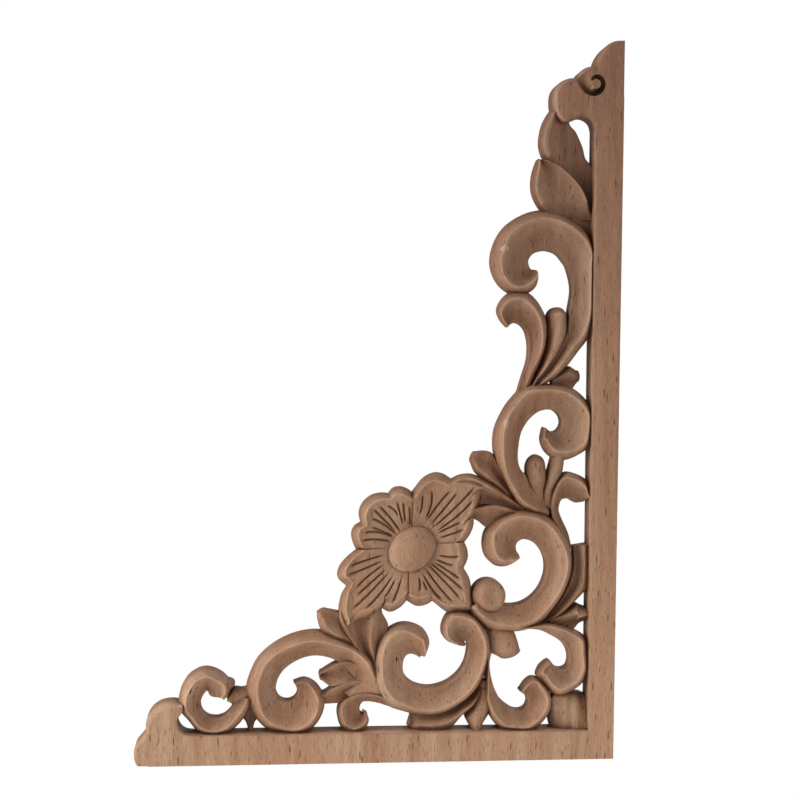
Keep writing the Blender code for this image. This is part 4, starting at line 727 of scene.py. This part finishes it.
# The upper finial is finished with a small spiral, sunk with a veining tool round a ball left in its eye.
CUT_TOP = THICK + 2.0


def groove(name, stations):
    """A sunk channel. A station: outer x, z, inner x, z, floor height at the outer and at the inner side."""
    rows = even_stations(catmull(stations), longest=0.7)
    across = np.linspace(0.0, 1.0, 7)
    grid = []
    for ox, oz, ix, iz, outer, inner in rows:
        height = outer + (inner - outer) * across**1.4 - 0.5 * np.sin(math.pi * across) ** 0.7
        grid.append(np.stack([ox + (ix - ox) * across, oz + (iz - oz) * across, height], -1))
    return solid(name, np.array(grid), CUT_TOP, cutters)


groove("spiral", [
    (177.2, 284.4, 179.8, 287, 12.4, 12.6), (177.9, 282.6, 182, 286.6, 10.4, 12.3),
    (179.1, 280.3, 183.2, 283.8, 9, 12.2), (180.9, 278.4, 184.3, 281.7, 8.4, 12.2),
    (183, 277.3, 185.3, 280.2, 8, 11.4), (184.9, 277, 185.9, 280.1, 7.8, 9.6),
    (187, 277.5, 186.8, 280.4, 7.8, 8.8), (188.9, 279, 187.4, 280.9, 7.8, 8.6),
    (189.9, 281.4, 187.8, 281.9, 8, 8.6), (189.7, 283.9, 187.4, 283.2, 8.4, 8.8),
    (188.3, 285.5, 186.6, 283.9, 8.8, 9), (186.5, 286, 185.7, 284.1, 9, 9.2),
    (184.6, 285.5, 184.8, 283.8, 9.6, 9.8), (183.4, 284.2, 184, 283.2, 10.8, 11.2)])

# Knocks, a knot and splits: small pits left by age and by the carver's tools, each a little cut of its own.
# Each pit: x, z, length, width, tilt in degrees, and the height of its floor.
PIT_SIDES = 12
for number, (x, z, long, wide, tilt, floor) in enumerate([
    (106.1, 42, 1.5, 0.45, 85, 5.6), (140.2, 106.8, 0.9, 0.5, 60, 4.8), (94, 59, 0.9, 0.4, 40, 6),
    (37, 28.9, 1.7, 0.3, 15, 4.6), (22.4, 27.6, 1.8, 0.3, 70, 6.9), (23.2, 30.6, 1.4, 0.3, 80, 7.2),
    (21, 30, 1.5, 0.3, 75, 7.6), (90.4, 88.4, 1.6, 0.35, 8, 5.2)]):
    rim = []
    cos, sin = math.cos(math.radians(tilt)), math.sin(math.radians(tilt))
    for k in range(PIT_SIDES):
        turn = 2 * math.pi * k / PIT_SIDES
        a, b = long * math.cos(turn), wide * math.sin(turn)
        rim.append((x + a * cos - b * sin, z + a * sin + b * cos))
    points = [(px, pz, CUT_TOP) for px, pz in rim]
    for share, height in ((0.8, floor + 1.2), (0.3, floor)):
        points += [(x + (px - x) * share, z + (pz - z) * share, height) for px, pz in rim]
    faces = [list(range(PIT_SIDES)), list(range(2 * PIT_SIDES, 3 * PIT_SIDES))[::-1]]
    for upper in (0, PIT_SIDES):
        lower = upper + PIT_SIDES
        for k in range(PIT_SIDES):
            following = (k + 1) % PIT_SIDES
            faces.append((upper + k, lower + k, lower + following, upper + following))
    mesh_object(f"pit {number}", points, faces, cutters)

# One body: every member grows out of the same board, so they are joined, and then the cuts are taken out.
# The joined body replaces the plain carving of the source and keeps its place and its box.
SHARP_ANGLE = 38
carved.objects.unlink(bars)
scene.collection.objects.link(bars)
for name, operation, operands in (("join", "UNION", carved), ("cut", "DIFFERENCE", cutters)):
    step = bars.modifiers.new(name, "BOOLEAN")
    step.operation = operation
    step.operand_type = "COLLECTION"
    step.collection = operands
    step.solver = "MANIFOLD"
bpy.context.view_layer.update()
body = bpy.data.meshes.new_from_object(bars.evaluated_get(bpy.context.evaluated_depsgraph_get()))
for helper in [bars, *carved.objects, *cutters.objects]:
    bpy.data.objects.remove(helper, do_unlink=True)
bpy.data.collections.remove(carved)
bpy.data.collections.remove(cutters)
body.name = "carved_corner"
body.shade_smooth()
body.set_sharp_from_angle(angle=math.radians(SHARP_ANGLE))


def placed(name, data):
    """A new object in the scene."""
    made = bpy.data.objects.new(name, data)
    scene.collection.objects.link(made)
    return made


onlay = placed("carved_corner", body)

# Bare carved hardwood: a fine, straight-grained timber, cut with gouges, never varnished, now dry and brown.
# The eye sees a dull pinkish tan, darker in the hollows, with short brown pores and streaks along the grain.
# The grain stands upright in the whole board, so it runs along the long bar and across the short one.


def linear(code):
    """A six-figure colour code as linear light."""
    parts = [int(code[k : k + 2], 16) / 255 for k in (1, 3, 5)]
    return (*[p / 12.92 if p <= 0.04045 else ((p + 0.055) / 1.055) ** 2.4 for p in parts], 1.0)


def node(tree, kind, settings=None, **links):
    """Adds one node with its settings and links; a link names an input, or gives its place after in."""
    made = tree.nodes.new("ShaderNode" + kind)
    for key, value in (settings or {}).items():
        if isinstance(key, str) and key not in made.inputs:
            setattr(made, key, value)
        else:
            made.inputs[key].default_value = value
    for key, source in links.items():
        tree.links.new(source, made.inputs[int(key[2:]) if key[:2] == "in" else key])
    return made


wood = bpy.data.materials.new("bare carved hardwood")
wood.use_nodes = True
tree = wood.node_tree
shader = tree.nodes["Principled BSDF"]
place = node(tree, "TexCoord").outputs["Object"]
split = node(tree, "SeparateXYZ", in0=place)
warp = node(tree, "TexNoise", {"Scale": 18.0, "Detail": 2.0}, Vector=place)
swing = node(tree, "VectorMath", {"operation": "SCALE", "Scale": 0.006}, in0=warp.outputs["Color"])
wavy = node(tree, "VectorMath", {"operation": "ADD"}, in0=place, in1=swing.outputs[0]).outputs[0]


def stretched(across, along):
    """The place drawn out along the grain: the size across and the length along it, in millimetres."""
    scale = (1000 / across, 1000 / across, 1000 / along)
    return node(tree, "Mapping", {"Scale": scale}, Vector=wavy).outputs[0]


def grain(across, along, detail=3.0, rough=0.6):
    """Noise drawn out along the grain."""
    settings = {"Scale": 1.0, "Detail": detail, "Roughness": rough}
    return node(tree, "TexNoise", settings, Vector=stretched(across, along)).outputs["Fac"]


def levels(source, low, high, start=0.0, end=1.0, smooth=True):
    """Spreads one range of values over another."""
    settings = {"From Min": low, "From Max": high, "To Min": start, "To Max": end}
    settings["interpolation_type"] = "SMOOTHSTEP" if smooth else "LINEAR"
    return node(tree, "MapRange", settings, in0=source).outputs["Result"]


def blend(mode, amount, base, top):
    """Lays one colour over another; the amount is a number or a node's output."""
    made = node(tree, "Mix", {"data_type": "RGBA", "blend_type": mode})
    for socket, value in zip((made.inputs[0], made.inputs[6], made.inputs[7]), (amount, base, top)):
        if isinstance(value, (int, float, tuple)):
            socket.default_value = value
        else:
            tree.links.new(value, socket)
    return made.outputs[2]


def stain(amount, code):
    """The wood's colour so far, darkened by another."""
    return blend("MULTIPLY", amount, flat, linear(code))


def times(first, second):
    """The product of two outputs."""
    return node(tree, "Math", {"operation": "MULTIPLY"}, in0=first, in1=second).outputs[0]


# Growth rings show as soft streaks 4 mm wide and 90 mm long, in redder and paler bands 11 mm wide.
# The fibres are 0.3 mm wide and 7 mm long.
streaks = levels(grain(4.0, 90.0, 2.0), 0.35, 0.65)
fibres = levels(grain(0.34, 7.0, 3.0, 0.7), 0.3, 0.7)
bands = levels(grain(11.0, 400.0, 1.0), 0.38, 0.62)
flat = blend("MIX", streaks, linear("#A48367"), linear("#B49174"))
flat = stain(bands, "#F6EBE4")
flat = stain(levels(fibres, 0.0, 1.0, 0.34, 0.0), "#A98468")
# Pores are cut vessels: sparse brown ticks 0.4 mm wide and up to 12 mm long, and fine ones between them.


def ticks(apart, along, inner, outer):
    """Short marks along the grain, so far apart, fading from the inner to the outer distance."""
    cells = node(tree, "TexVoronoi", {"Scale": 1.0}, Vector=stretched(apart, along))
    return levels(cells.outputs["Distance"], inner, outer, 1.0, 0.0)


pores = ticks(2.0, 15.0, 0.08, 0.16)
fine = ticks(1.0, 5.0, 0.12, 0.27)
flat = stain(levels(pores, 0.0, 1.0, 0.0, 0.9), "#8A6248")
flat = stain(levels(fine, 0.0, 1.0, 0.0, 0.5), "#8A6248")
# Darker towards the upper end: painted shade that stands in for the fall-off of the lamps.
flat = stain(levels(split.outputs["Z"], 0.0, 0.28, smooth=False), "#BFB3AD")
# Painted shade in the hollows: the deeper front-facing wood is darkened.
recess_shade = levels(split.outputs["Y"], -0.0098, -0.0045, 0.0, 0.45)
facing = node(tree, "SeparateXYZ", in0=node(tree, "NewGeometry").outputs["Normal"]).outputs["Y"]
front = levels(facing, 0.4, 0.9, 1.0, 0.0)
flat = stain(times(recess_shade, front), "#A57C62")
# Painted shade in creases and narrow nooks, darkened by ambient occlusion.
crease_shade = node(tree, "AmbientOcclusion", {"samples": 8, "Distance": 0.003}).outputs["AO"]
flat = stain(levels(crease_shade, 0.3, 0.85, 0.55, 0.0), "#8C5F45")
# A painted highlight lightens the arrises of the scrolls and leaves, which stand between 9 and 11.6 mm high.
edge = levels(node(tree, "NewGeometry").outputs["Pointiness"], 0.51, 0.57, 0.0, 0.34)
above = levels(split.outputs["Y"], -0.0096, -0.0086, 1.0, 0.0)
below = levels(split.outputs["Y"], -0.0119, -0.0116)
flat = blend("MIX", times(times(edge, above), below), flat, linear("#CDB09A"))
tree.links.new(flat, shader.inputs["Base Color"])
# Dry timber scatters the light: roughness about 0.6 on a typical index of 1.5, with a faint sheen.
for key, value in (("Roughness", 0.62), ("IOR", 1.5), ("Specular IOR Level", 0.35)):
    shader.inputs[key].default_value = value
# The pores are cut about 0.1 mm deep and the fibres stand as high; tool chatter is a soft 3 mm ripple.
relief = node(tree, "Math", {"operation": "MULTIPLY_ADD", 1: -0.9}, in0=pores, in2=fibres).outputs[0]
bump = node(tree, "Bump", {"Strength": 0.55, "Distance": 0.00012}, Height=relief)
chatter = node(tree, "TexNoise", {"Scale": 330.0, "Detail": 2.0}, Vector=place).outputs["Fac"]
bump = node(tree, "Bump", {"Strength": 0.35, "Distance": 0.0006}, Height=chatter, Normal=bump.outputs[0])
tree.links.new(bump.outputs[0], shader.inputs["Normal"])
body.materials.clear()
body.materials.append(wood)

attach(onlay, "root")
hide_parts("corner_onlay")

# The floor is a plain pale board, well below the hanging carving and out of the picture.
FLOOR_HALF = 1.2
FLOOR_LEVEL = -0.72
corners = [(x * FLOOR_HALF, y * FLOOR_HALF, FLOOR_LEVEL) for x, y in ((-1, -1), (1, -1), (1, 1), (-1, 1))]
board = bpy.data.meshes.new("floor")
board.from_pydata(corners, [], [(0, 1, 2, 3)])
floor = placed("floor", board)
pale = bpy.data.materials.new("pale painted floor")
pale.use_nodes = True
paint = pale.node_tree.nodes["Principled BSDF"].inputs
paint["Base Color"].default_value = linear("#E8E6E3")
paint["Roughness"].default_value = 0.8
floor.data.materials.append(pale)

# Studio light: a broad lamp at the upper left front, weaker ones low in front, at the right and behind,
# one for the floor alone, and a dim room that looks white.


def lamp(name, spot, aim, wide, high, power):
    """A rectangular lamp at one spot, turned to face another."""
    light = bpy.data.lights.new(name, "AREA")
    light.shape = "RECTANGLE"
    light.size = wide
    light.size_y = high
    light.energy = power
    made = placed(name, light)
    made.visible_camera = False
    made.location = spot
    made.rotation_euler = (Vector(aim) - Vector(spot)).to_track_quat("-Z", "Y").to_euler()


lamp("key", (-0.92, -0.27, 0.45), (-0.08, 0.0, 0.12), 0.7, 0.7, 12.6)
lamp("low fill", (-0.32, -0.36, -0.32), (-0.1, 0.0, 0.0), 0.4, 0.3, 0.75)
lamp("right fill", (0.6, -0.5, 0.3), (-0.08, 0.0, 0.1), 0.6, 0.6, 3.6)
lamp("back fill", (0.5, 1.1, 0.5), (-0.08, 0.0, 0.1), 0.6, 0.6, 3.0)
lamp("floor lamp", (0.0, 0.0, -0.28), (0.0, 0.0, FLOOR_LEVEL), 1.6, 1.6, 16.0)
room = bpy.data.worlds.new("white room")
room.use_nodes = True
scene.world = room
sky = room.node_tree
dim = sky.nodes["Background"]
dim.inputs["Color"].default_value = (1, 1, 1, 1)
dim.inputs["Strength"].default_value = 0.28
white = node(sky, "Background", {"Color": (1, 1, 1, 1)})
seen = node(sky, "LightPath").outputs["Is Camera Ray"]
both = node(sky, "MixShader", in0=seen, in1=dim.outputs[0], in2=white.outputs[0])
sky.links.new(both.outputs[0], sky.nodes["World Output"].inputs["Surface"])
scene.view_settings.view_transform = "Standard"

# The camera stands where the photograph was taken from: 0.6 m off, a little left of square and looking down.
CAMERA_AWAY = 0.6066
turned, tipped, rolled = (math.radians(angle) for angle in (5.755, 2.077, 0.659))
aim = Vector((-0.0855, 0.0, 0.14423))
level = math.cos(tipped)
ahead = Vector((math.sin(turned) * level, math.cos(turned) * level, -math.sin(tipped)))
across = Vector((math.cos(turned), -math.sin(turned), 0.0))
above = across.cross(ahead)
right = across * math.cos(rolled) + above * math.sin(rolled)
above = above * math.cos(rolled) - across * math.sin(rolled)
lens = bpy.data.cameras.new("camera")
lens.lens = 65.0
lens.sensor_width = 36.0
lens.clip_start = 0.01
camera = placed("camera", lens)
stand = Matrix((right, above, -ahead)).transposed().to_4x4()
stand.translation = aim - ahead * CAMERA_AWAY
camera.matrix_world = stand
scene.camera = camera
